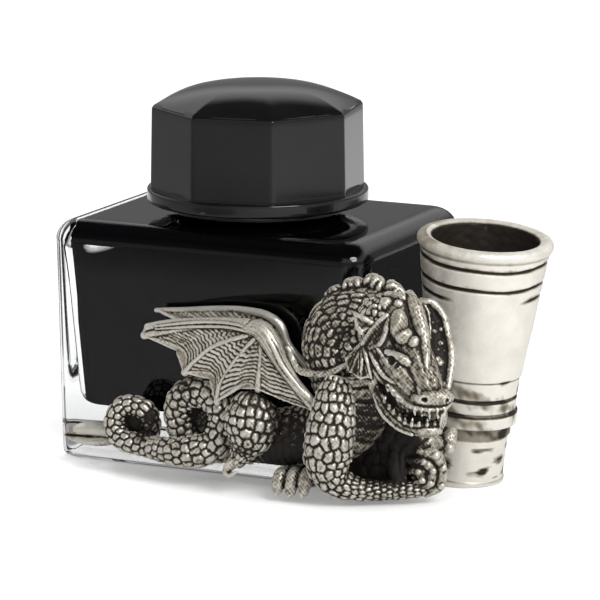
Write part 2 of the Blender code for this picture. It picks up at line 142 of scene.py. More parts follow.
class Nodes:
    """A small wrapper that makes shader nodes in a material or a world. Wherever an input is given,
    its value is a number, a colour, a place or the output of another node."""

    def __init__(self, owner):
        owner.use_nodes = True
        self.material = owner
        self.tree = owner.node_tree
        self.shader = self.tree.nodes.get("Principled BSDF")

    def give(self, target, value):
        if isinstance(value, bpy.types.NodeSocket):
            self.tree.links.new(value, target)
        else:
            target.default_value = value

    def add(self, kind, inputs=(), **settings):
        node = self.tree.nodes.new(kind)
        for key, value in settings.items():
            setattr(node, key, value)
        for slot, value in inputs:
            self.give(node.inputs[slot], value)
        return node

    def set(self, **values):
        for key, value in values.items():
            self.give(self.shader.inputs[key.replace("_", " ")], value)

    def place(self):
        return self.add("ShaderNodeTexCoord").outputs["Object"]

    def noise(self, scale, detail=3.0, roughness=0.5):
        inputs = (("Vector", self.place()), ("Scale", scale), ("Detail", detail),
                  ("Roughness", roughness))
        return self.add("ShaderNodeTexNoise", inputs).outputs["Fac"]

    def distance(self, source, point):
        inputs = enumerate((source, point))
        return self.add("ShaderNodeVectorMath", inputs, operation="DISTANCE").outputs["Value"]

    def split(self, source):
        return self.add("ShaderNodeSeparateXYZ", [("Vector", source)]).outputs

    def ramp(self, source, stops):
        node = self.add("ShaderNodeValToRGB", [("Fac", source)])
        elements = node.color_ramp.elements
        while len(elements) < len(stops):
            elements.new(0.5)
        for element, (position, colour) in zip(elements, stops):
            element.position = position
            element.color = (*colour, 1.0)
        return node.outputs["Color"]

    def scalar(self, source, low, high, from_low=0.0, from_high=1.0):
        inputs = (("Value", source), ("From Min", from_low), ("From Max", from_high),
                  ("To Min", low), ("To Max", high))
        return self.add("ShaderNodeMapRange", inputs).outputs["Result"]

    def math(self, operation, first, second):
        inputs = enumerate((first, second))
        return self.add("ShaderNodeMath", inputs, operation=operation).outputs["Value"]

    def mix(self, factor, first, second):
        inputs = ((0, factor), (6, first), (7, second))
        return self.add("ShaderNodeMix", inputs, data_type="RGBA").outputs[2]

    def mix_shaders(self, factor, first, second, output):
        both = self.add("ShaderNodeMixShader", enumerate((factor, first, second)))
        self.give(self.tree.nodes[output].inputs["Surface"], both.outputs["Shader"])

    def bump(self, source, distance, strength=1.0):
        inputs = (("Height", source), ("Distance", distance), ("Strength", strength))
        self.set(Normal=self.add("ShaderNodeBump", inputs).outputs["Normal"])


def glass_material():
    """Clear moulded glass with faint waviness; shadows pass through it."""
    m = Nodes(bpy.data.materials.new("clear_glass"))
    m.set(Base_Color=(0.985, 0.995, 0.992, 1.0), Transmission_Weight=1.0, IOR=1.5, Roughness=0.0)
    m.bump(m.noise(45.0, 0.0), 0.00006)
    clear = m.add("ShaderNodeBsdfTransparent", [("Color", (0.93, 0.95, 0.945, 1.0))])
    shadow = m.add("ShaderNodeLightPath").outputs["Is Shadow Ray"]
    m.mix_shaders(shadow, m.shader.outputs["BSDF"], clear.outputs["BSDF"], "Material Output")
    return m.material


def ink_material():
    """Deep black ink with the faintest blue cast; it wets the glass, so it has no shine of its own."""
    m = Nodes(bpy.data.materials.new("black_ink"))
    black = m.ramp(m.noise(40.0, 2.0),
                   [(0.3, (0.0010, 0.0010, 0.0013)), (0.7, (0.0020, 0.0020, 0.0027))])
    m.set(Base_Color=black, Specular_IOR_Level=0.0, Roughness=0.9)
    return m.material


def cap_material():
    """Glossy black moulded plastic with fine handling marks."""
    m = Nodes(bpy.data.materials.new("black_cap"))
    fine = m.noise(900.0, 4.0, 0.6)
    broad = m.noise(60.0, 3.0)
    black = m.ramp(broad, [(0.3, (0.003, 0.003, 0.0032)), (0.7, (0.006, 0.006, 0.0063))])
    marks = m.math("ADD", m.scalar(fine, 0.05, 0.11), m.scalar(broad, 0.0, 0.06))
    m.bump(broad, 0.00003, 0.6)
    m.set(Base_Color=black, Roughness=marks, IOR=1.5)
    return m.material


def liner_material():
    """Pale closed-cell foam of the sealing disc."""
    m = Nodes(bpy.data.materials.new("liner_foam"))
    cells = m.add("ShaderNodeTexVoronoi", [("Vector", m.place()), ("Scale", 2600.0)])
    m.bump(cells.outputs["Distance"], 0.00005, 0.6)
    pale = m.ramp(m.noise(300.0), [(0.3, (0.60, 0.59, 0.55)), (0.7, (0.74, 0.73, 0.70))])
    m.set(Base_Color=pale, Roughness=0.65)
    return m.material


def pad_material():
    """Adhesive foam pad, slightly yellowed."""
    m = Nodes(bpy.data.materials.new("bond_foam"))
    tone = m.noise(800.0, 4.0)
    yellowed = m.ramp(tone, [(0.3, (0.36, 0.34, 0.27)), (0.7, (0.54, 0.52, 0.43))])
    m.bump(tone, 0.0001, 0.8)
    m.set(Base_Color=yellowed, Roughness=0.8)
    return m.material


# What half-worn metal keeps of the bright metal's red, green and blue
WARM_MIDDLE = (0.39, 0.36, 0.31)


def antique_pewter(name, bright, patina, relief_low, relief_high, metal, grain, polish):
    """Cast pewter, blackened where the relief value of a point is low and bright where it is high.
    metal and polish are the bright parts' metallic and roughness values, grain the mottling."""
    m = Nodes(bpy.data.materials.new(name))
    relief = m.add("ShaderNodeAttribute", attribute_name="relief").outputs["Fac"]
    blotch = m.noise(420.0, 4.0, 0.6)
    speck = m.noise(1700.0, 3.0, 0.6)
    worn = m.math("ADD", relief, m.scalar(blotch, -0.34, 0.26))
    worn = m.math("ADD", worn, m.scalar(speck, -0.14 * grain, 0.10 * grain))
    shine = m.scalar(worn, 0.0, 1.0, relief_low, relief_high)
    shades = []
    for fade in (1.0, 0.86):
        full = tuple(c * fade for c in bright)
        warm = tuple(c * part for c, part in zip(full, WARM_MIDDLE))
        shades.append(m.ramp(shine, [(0.0, patina), (0.5, warm), (1.0, full)]))
    colour = m.mix(m.scalar(m.noise(260.0), 0.0, 1.0, 0.3, 0.7), *shades)
    roughness = m.math("ADD", m.scalar(shine, 0.55, polish), m.scalar(speck, -0.04, 0.08))
    m.set(Base_Color=colour, Metallic=m.scalar(shine, 0.2, metal), Specular_IOR_Level=0.3,
          Roughness=roughness)
    m.bump(m.math("ADD", speck, m.scalar(blotch, 0.0, 1.5)), 0.00007 * grain, 0.6)
    return m.material


# ---- ring sections ----

SIDE_STEPS = 9
CORNER_STEPS = 12


def rect_ring(half_x, half_y, corner):
    """A rounded rectangle, with as many points as every other ring of its kind."""
    corner = max(corner, 0.05)
    ring = []
    signs = ((1, 1), (-1, 1), (-1, -1), (1, -1))
    middles = [np.array([sx * (half_x - corner), sy * (half_y - corner)]) for sx, sy in signs]
    for k, centre in enumerate(middles):
        start = k * math.pi / 2
        arc = []
        for i in range(CORNER_STEPS + 1):
            angle = start + math.pi / 2 * i / CORNER_STEPS
            arc.append(centre + corner * np.array([math.cos(angle), math.sin(angle)]))
        ring.extend(arc)
        leave = start + math.pi / 2
        end = middles[(k + 1) % 4] + corner * np.array([math.cos(leave), math.sin(leave)])
        for i in range(1, SIDE_STEPS + 1):
            ring.append(arc[-1] + (end - arc[-1]) * i / (SIDE_STEPS + 1))
    return np.array(ring)


def round_ring(radius, like):
    """A circle whose points stand at the same angles as another ring's; each may have its radius."""
    angle = np.arctan2(like[:, 1], like[:, 0])
    return np.stack([radius * np.cos(angle), radius * np.sin(angle)], 1)


def lifted(ring, z):
    """A flat ring at one height."""
    return np.column_stack([ring, np.full(len(ring), z)])


def quarter(steps, first=1):
    """Cosine and sine at even steps over a quarter turn."""
    for i in range(first, steps + 1):
        angle = math.pi / 2 * i / steps
        yield math.cos(angle), math.sin(angle)


# ---- bottle, ink, liner ----

BODY_TOP = 43.5
BODY_TAPER = 0.7
NECK_RADIUS = 15.0
NECK_BORE = 12.5
THREAD_PITCH = 4.0
THREAD_TURNS = 1.25
THREAD_START = 50.6
THREAD_SECTION = 0.9
INK_GAP = 0.3
FLOOR_Z = INK_FLOOR - INK_GAP
ROOF_Z = BODY_TOP - 2.2


def thread_height(like, z, start):
    """How far a round thread ridge stands out at each point of a ring, fading at both ends."""
    turn = np.mod(np.arctan2(like[:, 1], like[:, 0]), 2 * math.pi) / (2 * math.pi)
    best = np.zeros(len(like))
    for lap in range(3):
        along = turn + lap
        middle = start + THREAD_PITCH * along
        fade = np.clip(np.minimum(along, THREAD_TURNS - along) / 0.08, 0, 1)
        drop = (z - middle) / THREAD_SECTION
        height = THREAD_SECTION * np.sqrt(np.clip(1 - drop * drop, 0, 1)) * fade
        best = np.maximum(best, height)
    return best


def body_half(z, inset=0.0, extra_taper=0.0):
    """Half sizes of the glass body, or of its hollow, at a height."""
    shrink = (BODY_TAPER + extra_taper) * (1 - z / BODY_TOP)
    return BOTTLE_HALF_X - inset - shrink, BOTTLE_HALF_Y - inset - shrink


def drawn_in(half, inset, corner, soften, z):
    """A ring of the body drawn in by inset, its corners growing tighter at the rate soften."""
    return lifted(rect_ring(half[0] - inset, half[1] - inset, corner - inset * soften), z)


def outer_body_rings():
    """The outside of the glass from the middle of its foot to the root of its neck."""
    rings = []
    foot, shoulder, corner = 1.1, 3.9, 4.0
    half = body_half(0.0)
    for share in (0.05, 0.4, 0.75, 0.97):
        rings.append(lifted(rect_ring((half[0] - foot) * share, (half[1] - foot) * share,
                                      corner * share), 0.0))
    for cos, sin in quarter(5, 0):
        rings.append(drawn_in(half, foot * (1 - sin), corner, 0.4, foot * (1 - cos)))
    for z in np.linspace(foot + 1.5, BODY_TOP - shoulder, 12):
        rings.append(lifted(rect_ring(*body_half(z), corner), z))
    half = body_half(BODY_TOP)
    for cos, sin in quarter(10):
        rings.append(drawn_in(half, shoulder * (1 - cos), corner, 0.55,
                              BODY_TOP - shoulder * (1 - sin)))
    flat = drawn_in(half, shoulder, corner, 0.55, BODY_TOP)[:, :2]
    fillet = 1.2
    circle = round_ring(NECK_RADIUS + fillet, flat)
    for share in (0.15, 0.45, 0.75, 0.95, 1.0):
        rings.append(lifted(flat + (circle - flat) * share, BODY_TOP))
    for cos, sin in quarter(5):
        rings.append(lifted(round_ring(NECK_RADIUS + fillet * (1 - sin), flat),
                            BODY_TOP + fillet * (1 - cos)))
    return rings, flat


def make_bottle():
    """Thick clear bottle in one closed surface: outside, threaded neck, bore and hollow."""
    rings, like = outer_body_rings()
    lip = 0.9
    for z in np.arange(BODY_TOP + 1.5, NECK_TOP - lip, 0.22):
        rings.append(lifted(round_ring(NECK_RADIUS + thread_height(like, z, THREAD_START), like), z))
    for i in range(9):
        turn = math.pi * i / 8
        half = (NECK_RADIUS - NECK_BORE) / 2
        rings.append(lifted(round_ring(NECK_BORE + half * (1 + math.cos(turn)), like),
                            NECK_TOP - lip + lip * math.sin(turn)))
    rings += hollow_rings(like, 0.0, NECK_TOP - 4)[::-1]
    ob = outward(make_object("bottle_glass", *skin(rings)))
    stand_for(ob, "glass_bottle", "bottle", glass_material())


def hollow_rings(like, grow, neck_to):
    """The hollow from the middle of its floor up its walls, under its roof and up the neck's bore,
    pushed outwards by grow."""
    wall, spread, corner, roof_round, floor_round, lip = 1.6, 2.5, 3.6, 3.0, 2.2, 1.0
    rings = []
    half = body_half(FLOOR_Z, wall - grow, spread)
    for share in (0.03, 0.2, 0.5, 0.8):
        rings.append(lifted(rect_ring((half[0] - floor_round) * share, (half[1] - floor_round) * share,
                                      2.0 * share), FLOOR_Z - grow))
    for cos, sin in reversed(list(quarter(7))):
        rings.append(drawn_in(half, floor_round * (1 - cos), corner, 0.5,
                              FLOOR_Z - grow + floor_round * (1 - sin)))
    for z in np.linspace(FLOOR_Z + floor_round, ROOF_Z - roof_round, 12):
        half = body_half(z, wall - grow, spread)
        rings.append(lifted(rect_ring(*half, corner), z))
    for cos, sin in quarter(8):
        rings.append(drawn_in(half, roof_round * (1 - cos), corner, 0.5,
                              ROOF_Z + grow - roof_round * (1 - sin)))
    ceiling = rings[-1][:, :2]
    circle = round_ring(NECK_BORE + grow + lip, like)
    for share in (0.3, 0.7, 1.0):
        rings.append(lifted(ceiling + (circle - ceiling) * share, ROOF_Z + grow))
    for cos, sin in quarter(4):
        rings.append(lifted(round_ring(NECK_BORE + grow + lip * (1 - sin), like),
                            ROOF_Z + grow + lip * (1 - cos)))
    for z in np.linspace(ROOF_Z + lip + 1, neck_to, 6):
        rings.append(lifted(round_ring(NECK_BORE + grow, like), z))
    return rings


def make_ink():
    """Ink filling the hollow to up in the neck. It wets the glass, reaching just into it, but stands
    a hair's breadth off the left wall, so that this stays bright when seen edge-on."""
    bite, draw_in = 0.03, 0.9965
    like = outer_body_rings()[1]
    rings = []
    for ring in hollow_rings(like, bite, INK_LEVEL):
        x = np.where(ring[:, 0] < 0, ring[:, 0] * draw_in, ring[:, 0])
        rings.append(np.column_stack([x, ring[:, 1:]]))
    for share in (0.95, 0.6, 0.05):
        rings.append(lifted(rings[-1][:, :2] / np.abs(rings[-1][:, :2]).max() * NECK_BORE * share,
                            INK_LEVEL))
    ob = outward(make_object("ink_volume", *skin(rings)))
    stand_for(ob, "ink_fill", "bottle", ink_material())


# ---- cap ----

OCTAGON_TURN = math.radians(-11.6)
OCTAGON_FOOT = 19.5
OCTAGON_TOP = 19.2
OCTAGON_HEIGHT = 15.0
FLANGE_RADIUS = 20.0
FLANGE_HEIGHT = 2.4
CAP_BORE = 16.5
FACET_STEPS = 14
EDGE_STEPS = 5


def octagon_ring(radius, edge, roundness=0.0):
    """An octagon with rounded upright edges, blended towards a circle by roundness."""
    ring = []
    flat = radius * math.cos(math.pi / 8)
    centre = (flat - edge) / math.cos(math.pi / 8)
    reach = (flat - edge) * math.tan(math.pi / 8)
    for side in range(8):
        vertex = OCTAGON_TURN + side * math.pi / 4
        normal = vertex + math.pi / 8
        for i in range(EDGE_STEPS):
            a = vertex + ((i + 0.5) / EDGE_STEPS - 0.5) * math.pi / 4
            ring.append((centre * math.cos(vertex) + edge * math.cos(a),
                         centre * math.sin(vertex) + edge * math.sin(a)))
        for i in range(FACET_STEPS):
            t = ((i + 0.5) / FACET_STEPS - 0.5) * 2 * reach
            ring.append((flat * math.cos(normal) - t * math.sin(normal),
                         flat * math.sin(normal) + t * math.cos(normal)))
    ring = np.array(ring)
    return ring + (round_ring(radius * 0.985, ring) - ring) * roundness


def make_cap():
    """Octagonal cap in one closed surface: dome, facets, flange, threaded bore."""
    flange_top = CAP_BOTTOM + FLANGE_HEIGHT
    shoulder = flange_top + OCTAGON_HEIGHT
    dome = CAP_TOP - shoulder
    edge, top_round, foot_round = 0.7, 0.38, 0.45
    rings = []
    for share in np.linspace(0.03, 0.985, 24):
        round_share = np.clip(2.2 * (1 - share), 0, 1) ** 0.8
        rings.append(lifted(octagon_ring(OCTAGON_TOP * share, edge * share + 0.05, round_share),
                            CAP_TOP - dome * share ** 2.7))
    for cos, sin in quarter(5):
        rings.append(lifted(octagon_ring(OCTAGON_TOP - 0.30 * (1 - sin), edge),
                            shoulder - 0.05 - 0.40 * (1 - cos)))
    for z in np.linspace(shoulder - 1.5, flange_top + 0.5, 10):
        widen = (OCTAGON_FOOT - OCTAGON_TOP) * (shoulder - z) / OCTAGON_HEIGHT
        rings.append(lifted(octagon_ring(OCTAGON_TOP + widen, edge), z))
    like = octagon_ring(OCTAGON_FOOT, edge)
    rings.append(lifted(like, flange_top + 0.1))
    rings.append(lifted(like * 1.002, flange_top))
    for cos, sin in quarter(6):
        rings.append(lifted(round_ring(FLANGE_RADIUS - top_round * (1 - sin), like),
                            flange_top - top_round * (1 - cos)))
    for z in (flange_top - 0.9, CAP_BOTTOM + 0.9):
        rings.append(lifted(round_ring(FLANGE_RADIUS, like), z))
    for cos, sin in quarter(6, 0):
        rings.append(lifted(round_ring(FLANGE_RADIUS - foot_round * (1 - cos), like),
                            CAP_BOTTOM + foot_round * (1 - sin)))
    rings.append(lifted(round_ring(18.2, like), CAP_BOTTOM))
    rings.append(lifted(round_ring(CAP_BORE + 0.4, like), CAP_BOTTOM))
    ceiling = LINER_TOP + 0.3
    start = THREAD_START - THREAD_PITCH / 2
    for z in np.arange(CAP_BOTTOM + 0.4, ceiling - 1.0, 0.25):
        rings.append(lifted(round_ring(CAP_BORE - thread_height(like, z, start), like), z))
    for share in (1.0, 0.75, 0.4, 0.05):
        rings.append(lifted(round_ring((CAP_BORE - 0.8) * share, like), ceiling))
    ob = outward(make_object("cap_gloss", *skin(rings)))
    ob.data.set_sharp_from_angle(angle=math.radians(50))
    stand_for(ob, "cap_shell", "cap", cap_material())


def dress_plain_nodes():
    """Materials for the CAD nodes that keep their shape."""
    foam = pad_material()
    dress = {"cap_liner": liner_material(), "torso_bond_pad": foam, "neck_bond_pad": foam,
             "tail_bond_pad": foam}
    for name, material in dress.items():
        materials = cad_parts[name].data.materials
        materials.clear()
        materials.append(material)


# ---- pen cup ----

# The way that the head, the curled paw and the side of the cup left free of painted shade face, from -Y
# towards +X
FACING = math.radians(25.1)
CUP_FOOT = np.array([43.65, -6.5, 0.0])
CUP_LEAN = math.radians(5.7)
CUP_NOD = math.radians(2.5)
CUP_AROUND = 300


def legs(radius, z, *ends):
    """Profile points along straight legs; each leg is given by its end, its steps and its relief."""
    points = []
    for end_radius, end_z, steps, relief in ends:
        for i in range(steps):
            t = i / steps
            points.append((radius + (end_radius - radius) * t, z + (end_z - z) * t, relief))
        radius, z = end_radius, end_z
    return points


def cup_outline():
    """Profile from the middle of the foot up and over the lip to the bore's floor.
    Each entry is (radius, height, relief), where low relief holds dark patina."""
    foot = legs(0.2, 0.0, (6.3, 0.0, 8, 0.9), (6.75, 0.35, 3, 0.9), (6.9, 1.3, 5, 0.9),
                (6.62, 1.6, 3, 0.5), (6.95, 9.2, 28, 0.9))
    bands = legs(6.95, 9.2, (7.3, 9.6, 3, 0.3), (7.2, 11.3, 8, 0.25), (8.15, 11.7, 5, 0.3),
                 (8.2, 13.8, 9, 0.9), (7.7, 14.1, 3, 0.0), (7.85, 14.5, 3, 0.2), (7.9, 16.4, 9, 0.9),
                 (7.5, 16.75, 3, 0.0), (7.95, 17.1, 3, 0.2), (8.2, 20.2, 12, 0.9), (8.5, 20.5, 3, 0.2))
    wall = legs(8.5, 20.5, (11.4, 42.7, 92, 0.9), (11.75, 43.1, 4, 0.5))
    lip = []
    for i in range(13):
        a = -0.5 + 2.1 * i / 12
        lip.append((10.75 + 1.25 * math.cos(a), 43.85 + 1.05 * math.sin(a), 0.85 - 0.2 * i / 12))
    mouth = legs(10.5, 44.9, (9.55, 44.55, 5, 0.6))
    bore = legs(9.4, 44.3, (9.0, 40.0, 16, -0.35), (5.4, 6.8, 42, -0.6), (4.8, 6.0, 3, 0.0),
                (0.2, 6.0, 6, 0.0))
    return np.array(foot + bands + wall + lip + mouth + bore)


def cup_grooves(z, angle):
    """Depth of the three turned grooves under the lip; the lowest fades out at the front."""
    depth = np.zeros_like(z)
    front = math.radians(-62)
    away = np.abs(np.mod(angle - front + math.pi, 2 * math.pi) - math.pi)
    wander = 0.18 * np.sin(angle * 2 + 0.6) + 0.09 * np.sin(angle * 5 + 2.0)
    partial = np.clip((away - 0.55) / 0.35, 0, 1)
    for middle, strength in ((41.3, 1.0), (37.7, 1.0), (35.3, partial)):
        near = (z - middle - wander) / 0.34
        depth = np.maximum(depth, np.exp(-near ** 4) * strength)
    return depth


def make_cup():
    """Burnished pewter cup, turned by hand: slightly uneven wall, dark grooves, bands and bore."""
    outline = cup_outline()
    ring = np.ones(CUP_AROUND)
    r, z, relief = (column[:, None] * ring for column in outline.T)
    a = np.ones(len(outline))[:, None] * np.linspace(0, 2 * math.pi, CUP_AROUND, endpoint=False)
    outer = np.arange(len(outline)) <= int(outline[:, 1].argmax())
    outside = (outer[:, None] * ring) * (z > 0.4)
    inside = (1 - outside) * (z > 5.5) * (z < 44.3)
    place = np.stack([r * np.cos(a), r * np.sin(a), z], -1).reshape(-1, 3)

    def wave(length, seed, squeeze=1.0):
        return waves(place * np.array([1, 1, squeeze]), length, seed).reshape(r.shape)

    # the wall's shape
    groove = cup_grooves(z, a) * outside * (z > 20)
    rough = wave(3.2, 5)
    r = r + (wave(16.0, 3) * 0.07 + 0.025 * wave(2.4, 4) - 0.42 * groove) * outside
    r = r + 0.12 * rough * inside * (r > 4.9)
    # patina in the grooves and darker patches just under them, round the bands, on the foot and in the
    # bore; painted shade down the left side, away from FACING
    relief = relief - 1.25 * groove
    left_painted_shade = np.clip(-np.cos(a - FACING) - 0.25, 0, 1) * outside
    relief = relief - left_painted_shade * (0.50 + 0.24 * wave(9.0, 17, 0.6))
    near_groove = cup_grooves(z - 0.55, a) * outside * (z > 20)
    relief = relief - near_groove * np.clip(wave(4.0, 18) + 0.1, 0, 1) * 0.6
    band_wear = outside * (z > 9.4) * (z < 20.6)
    relief = relief - band_wear * np.clip(wave(5.0, 9) + 0.1, 0, 1) * 0.8
    foot_patch = outside * (z > 2.0) * (z < 8.0)
    relief = relief - foot_patch * np.clip(wave(6.0, 11, 2.2) - 0.15, 0, 1) * 1.5
    relief = relief + inside * 0.30 * np.clip(rough - 0.3, 0, 1)
    points = np.stack([r * np.cos(a), r * np.sin(a), z], -1)
    points, faces = skin(points)
    lean = np.array(Matrix.Rotation(CUP_LEAN, 3, "Y") @ Matrix.Rotation(CUP_NOD, 3, "X"))
    points = points @ lean.T + CUP_FOOT
    points[:, 2] = np.maximum(points[:, 2], 0.02 + 0.02 * (points[:, 2] < 0))
    ob = make_object("cup_cast", points, faces)
    values = np.append(relief.ravel(), [0.5, 0.0])
    layer = ob.data.attributes.new("relief", "FLOAT", "POINT")
    layer.data.foreach_set("value", values.astype(np.float32))
    outward(ob)
    metal = antique_pewter("pewter_polished", (0.80, 0.77, 0.70), (0.020, 0.015, 0.011), -0.15, 0.72,
                           metal=0.45, grain=0.7, polish=0.40)
    stand_for(ob, "pen_cup", "bottle", metal)


# ---- sculpting helpers ----

def spline(stations, spacing):
    """Evenly spaced points on a Catmull-Rom curve through stations of any number of values."""
    stations = np.asarray(stations, float)
    ends = np.vstack([2 * stations[0] - stations[1], stations, 2 * stations[-1] - stations[-2]])
    dense = []
    for a, b, c, d in zip(ends[:-3], ends[1:-2], ends[2:-1], ends[3:]):
        for t in np.linspace(0, 1, 24, endpoint=False):
            dense.append(0.5 * (2 * b + (c - a) * t + (2 * a - 5 * b + 4 * c - d) * t * t
                                + (3 * b - a - 3 * c + d) * t ** 3))
    dense.append(stations[-1])
    dense = np.array(dense)
    steps = np.linalg.norm(np.diff(dense[:, :3], axis=0), axis=1)
    along = np.concatenate([[0], np.cumsum(steps)])
    count = max(int(along[-1] / spacing), 3)
    wanted = np.linspace(0, along[-1], count)
    return np.stack([np.interp(wanted, along, dense[:, k]) for k in range(dense.shape[1])], 1)


def at_share(points, share):
    """The place, or places, at shares from 0 to 1 of a list of points."""
    points = np.asarray(points, float)
    marks = np.linspace(0, 1, len(points))
    return np.stack([np.interp(share, marks, points[:, k]) for k in range(3)], -1)


def carried_frames(path, up):
    """Tangent, side and up vectors along a path, turned as little as possible."""
    tangent = np.gradient(path, axis=0)
    tangent /= np.linalg.norm(tangent, axis=1)[:, None]
    ups = []
    current = np.asarray(up, float)
    for t in tangent:
        current = current - t * (current @ t)
        current /= np.linalg.norm(current)
        ups.append(current)
    ups = np.array(ups)
    return tangent, np.cross(tangent, ups), ups


def rings_along(path, side, ups, radius, angle):
    """Rings of points around a path, at the given radii and angles from up."""
    c, s = np.cos(angle)[None, :, None], np.sin(angle)[None, :, None]
    return path[:, None, :3] + radius[..., None] * (c * ups[:, None] + s * side[:, None])


def hashed(a, b, seed):
    """A repeatable value from 0 to 1 for a pair of whole numbers."""
    value = np.sin(a * 12.9898 + b * 78.233 + seed * 37.719) * 43758.5453
    return value - np.floor(value)


def scale_field(rows, columns, around, seed, jitter=0.5):
    """Height from 0 to 1 of uneven scales laid in staggered rows; around is their number in a row."""
    base_row = np.floor(rows)
    first = np.full(rows.shape, 9.0)
    second = first.copy()
    tall = np.zeros(rows.shape)
    lean = np.zeros(rows.shape)
    for i in (-1, 0, 1):
        row = base_row + i
        shift = 0.5 * np.mod(row, 2)
        base_column = np.floor(columns + shift)
        for j in (-1, 0, 1):
            column = np.mod(base_column + j, around)
            off_row = rows - (row + 0.5 + jitter * (hashed(row, column, seed) - 0.5))
            off_column = columns - (base_column + j + 0.5 - shift
                                    + jitter * (hashed(column, row, seed + 3) - 0.5))
            away = (np.abs(off_row) ** 2.6 + np.abs(off_column) ** 2.6) ** (1 / 2.6)
            nearer = away < first
            second = np.where(nearer, first, np.minimum(second, away))
            tall = np.where(nearer, 0.70 + 0.42 * hashed(row + 7, column, seed + 1), tall)
            lean = np.where(nearer, off_row, lean)
            first = np.where(nearer, away, first)
    dome = np.clip((second - first - 0.07) / 0.42, 0, 1) ** 0.55
    return dome * tall * (1 + 0.30 * lean)


def limb(stations, row=1.9, columns=14, lift=0.42, up=(0, 0, 1), spacing=0.2, seed=1,
         plates=None, bare=0.0):
    """A closed limb covered in scales. plates gives the half angle of the smooth belly band and its
    plate spacing, and bare is the length at the far end that is left smooth."""
    path = spline(stations, spacing)
    side, ups = carried_frames(path[:, :3], up)[1:]
    radius = path[:, 3]
    count = max(int(2 * math.pi * radius.max() / spacing), 24)
    angle = np.linspace(0, 2 * math.pi, count, endpoint=False)
    size = radius / radius.max()
    along = np.cumsum(spacing / (row * (0.35 + 0.65 * size)))
    rows = along[:, None] * np.ones(count)
    cols = columns * angle[None, :] / (2 * math.pi) * np.ones((len(path), 1))
    height = scale_field(rows, cols, columns, seed)
    if plates:
        half, pitch = plates
        from_belly = np.abs(np.mod(angle, 2 * math.pi) - math.pi)[None, :]
        cycle = np.mod(along * row / pitch, 1.0)[:, None]
        ridge = np.clip(np.sin(math.pi * cycle) * 1.4, 0, 1) ** 0.8 * (0.65 + 0.35 * cycle)
        belly = np.clip((half - from_belly) / 0.12, 0, 1)
        height = height * (1 - belly) + ridge * np.ones(count) * belly * 0.9
    if bare:
        keep = np.clip((len(path) - 1 - np.arange(len(path))) * spacing / bare, 0, 1)[:, None]
        height = height * keep + 0.5 * (1 - keep)
    swell = radius[:, None] + lift * (0.4 + 0.6 * size[:, None]) * (height - 0.7)
    return skin(rings_along(path, side, ups, np.maximum(swell, 0.12), angle))


def rod(stations, spacing=0.25, sides=14):
    """A closed smooth rod through (x, y, z, radius) stations, with rounded ends."""
    path = spline(stations, spacing)
    tangent, side, ups = carried_frames(path[:, :3], (0.13, 0.31, 0.94))
    angle = np.linspace(0, 2 * math.pi, sides, endpoint=False)
    caps = []
    for at, way in ((0, -tangent[0]), (-1, tangent[-1])):
        bend = np.array((0.45, 0.95, 1.35))
        radius = path[at, 3]
        centres = path[at, :3] + way * radius * np.sin(bend)[:, None]
        caps.append(rings_along(centres, side[[at]], ups[[at]], radius * np.cos(bend)[:, None], angle))
    rings = rings_along(path, side, ups, path[:, 3:], angle)
    return skin(np.concatenate([caps[0][::-1], rings, caps[1]]))


def ball(centre, radii, turn=None, rings=16, around=24):
    """A closed ellipsoid, optionally turned by a 3x3 matrix."""
    lat = np.linspace(0.06, math.pi - 0.06, rings)
    lon = np.linspace(0, 2 * math.pi, around, endpoint=False)
    p = np.stack([np.sin(lat)[:, None] * np.cos(lon), np.sin(lat)[:, None] * np.sin(lon),
                  np.cos(lat)[:, None] * np.ones(around)], -1) * np.asarray(radii, float)
    if turn is not None:
        p = p @ np.asarray(turn).T
    return skin(p + np.asarray(centre, float))


def scaled_ball(centre, radii, size, seed):
    """An ellipsoid covered in uneven scales of about the given size."""
    rings = int(math.pi * max(radii) / 0.2)
    around = int(2 * math.pi * max(radii[:2]) / 0.2)
    lat = np.linspace(0.05, math.pi - 0.05, rings)[:, None] * np.ones(around)
    lon = np.ones(rings)[:, None] * np.linspace(0, 2 * math.pi, around, endpoint=False)
    columns = max(int(2 * math.pi * max(radii[:2]) / size), 5)
    height = scale_field(lat * max(radii) / size, lon * columns / (2 * math.pi), columns, seed)
    keep = np.clip(np.sin(lat) * 3, 0, 1)
    swell = 1 + (0.45 * (height - 0.7) * keep) / min(radii)
    unit = np.stack([np.sin(lat) * np.cos(lon), np.sin(lat) * np.sin(lon), np.cos(lat)], -1)
    points = unit * np.asarray(radii, float) * swell[..., None]
    return skin(points + np.asarray(centre, float))


def cone(foot, tip, radius):
    """A pointed tooth, claw or horn."""
    foot, tip = np.asarray(foot, float), np.asarray(tip, float)
    return rod([(*foot, radius), (*(foot + tip) / 2, radius * 0.66), (*tip, 0.05)], 0.15, 10)


def sheet(grid, thickness):
    """A closed plate around a grid of points (rows x columns x 3)."""
    grid = np.asarray(grid, float)
    normal = np.cross(np.gradient(grid, axis=0), np.gradient(grid, axis=1))
    normal = normal / np.maximum(np.linalg.norm(normal, axis=2), 1e-9)[..., None]
    front, back = grid + normal * thickness / 2, grid - normal * thickness / 2
    return skin(np.concatenate([front, back[:, ::-1]], axis=1))


def fused(shells, voxel):
    """Join closed shells into one skin, as if cast in one piece; works in millimetres."""
    points, faces, base = [], [], 0
    for p, f in shells:
        points.append(p)
        faces.extend([tuple(i + base for i in face) for face in f])
        base += len(p)
    mesh = bpy.data.meshes.new("rough")
    mesh.from_pydata(np.vstack(points).tolist(), [], faces)
    ob = link_new("rough", mesh)
    remesh = ob.modifiers.new("fuse", "REMESH")
    remesh.mode = "VOXEL"
    remesh.voxel_size = voxel
    graph = bpy.context.evaluated_depsgraph_get()
    result = bpy.data.meshes.new_from_object(ob.evaluated_get(graph))
    bpy.data.objects.remove(ob, do_unlink=True)
    bpy.data.meshes.remove(mesh)
    return result


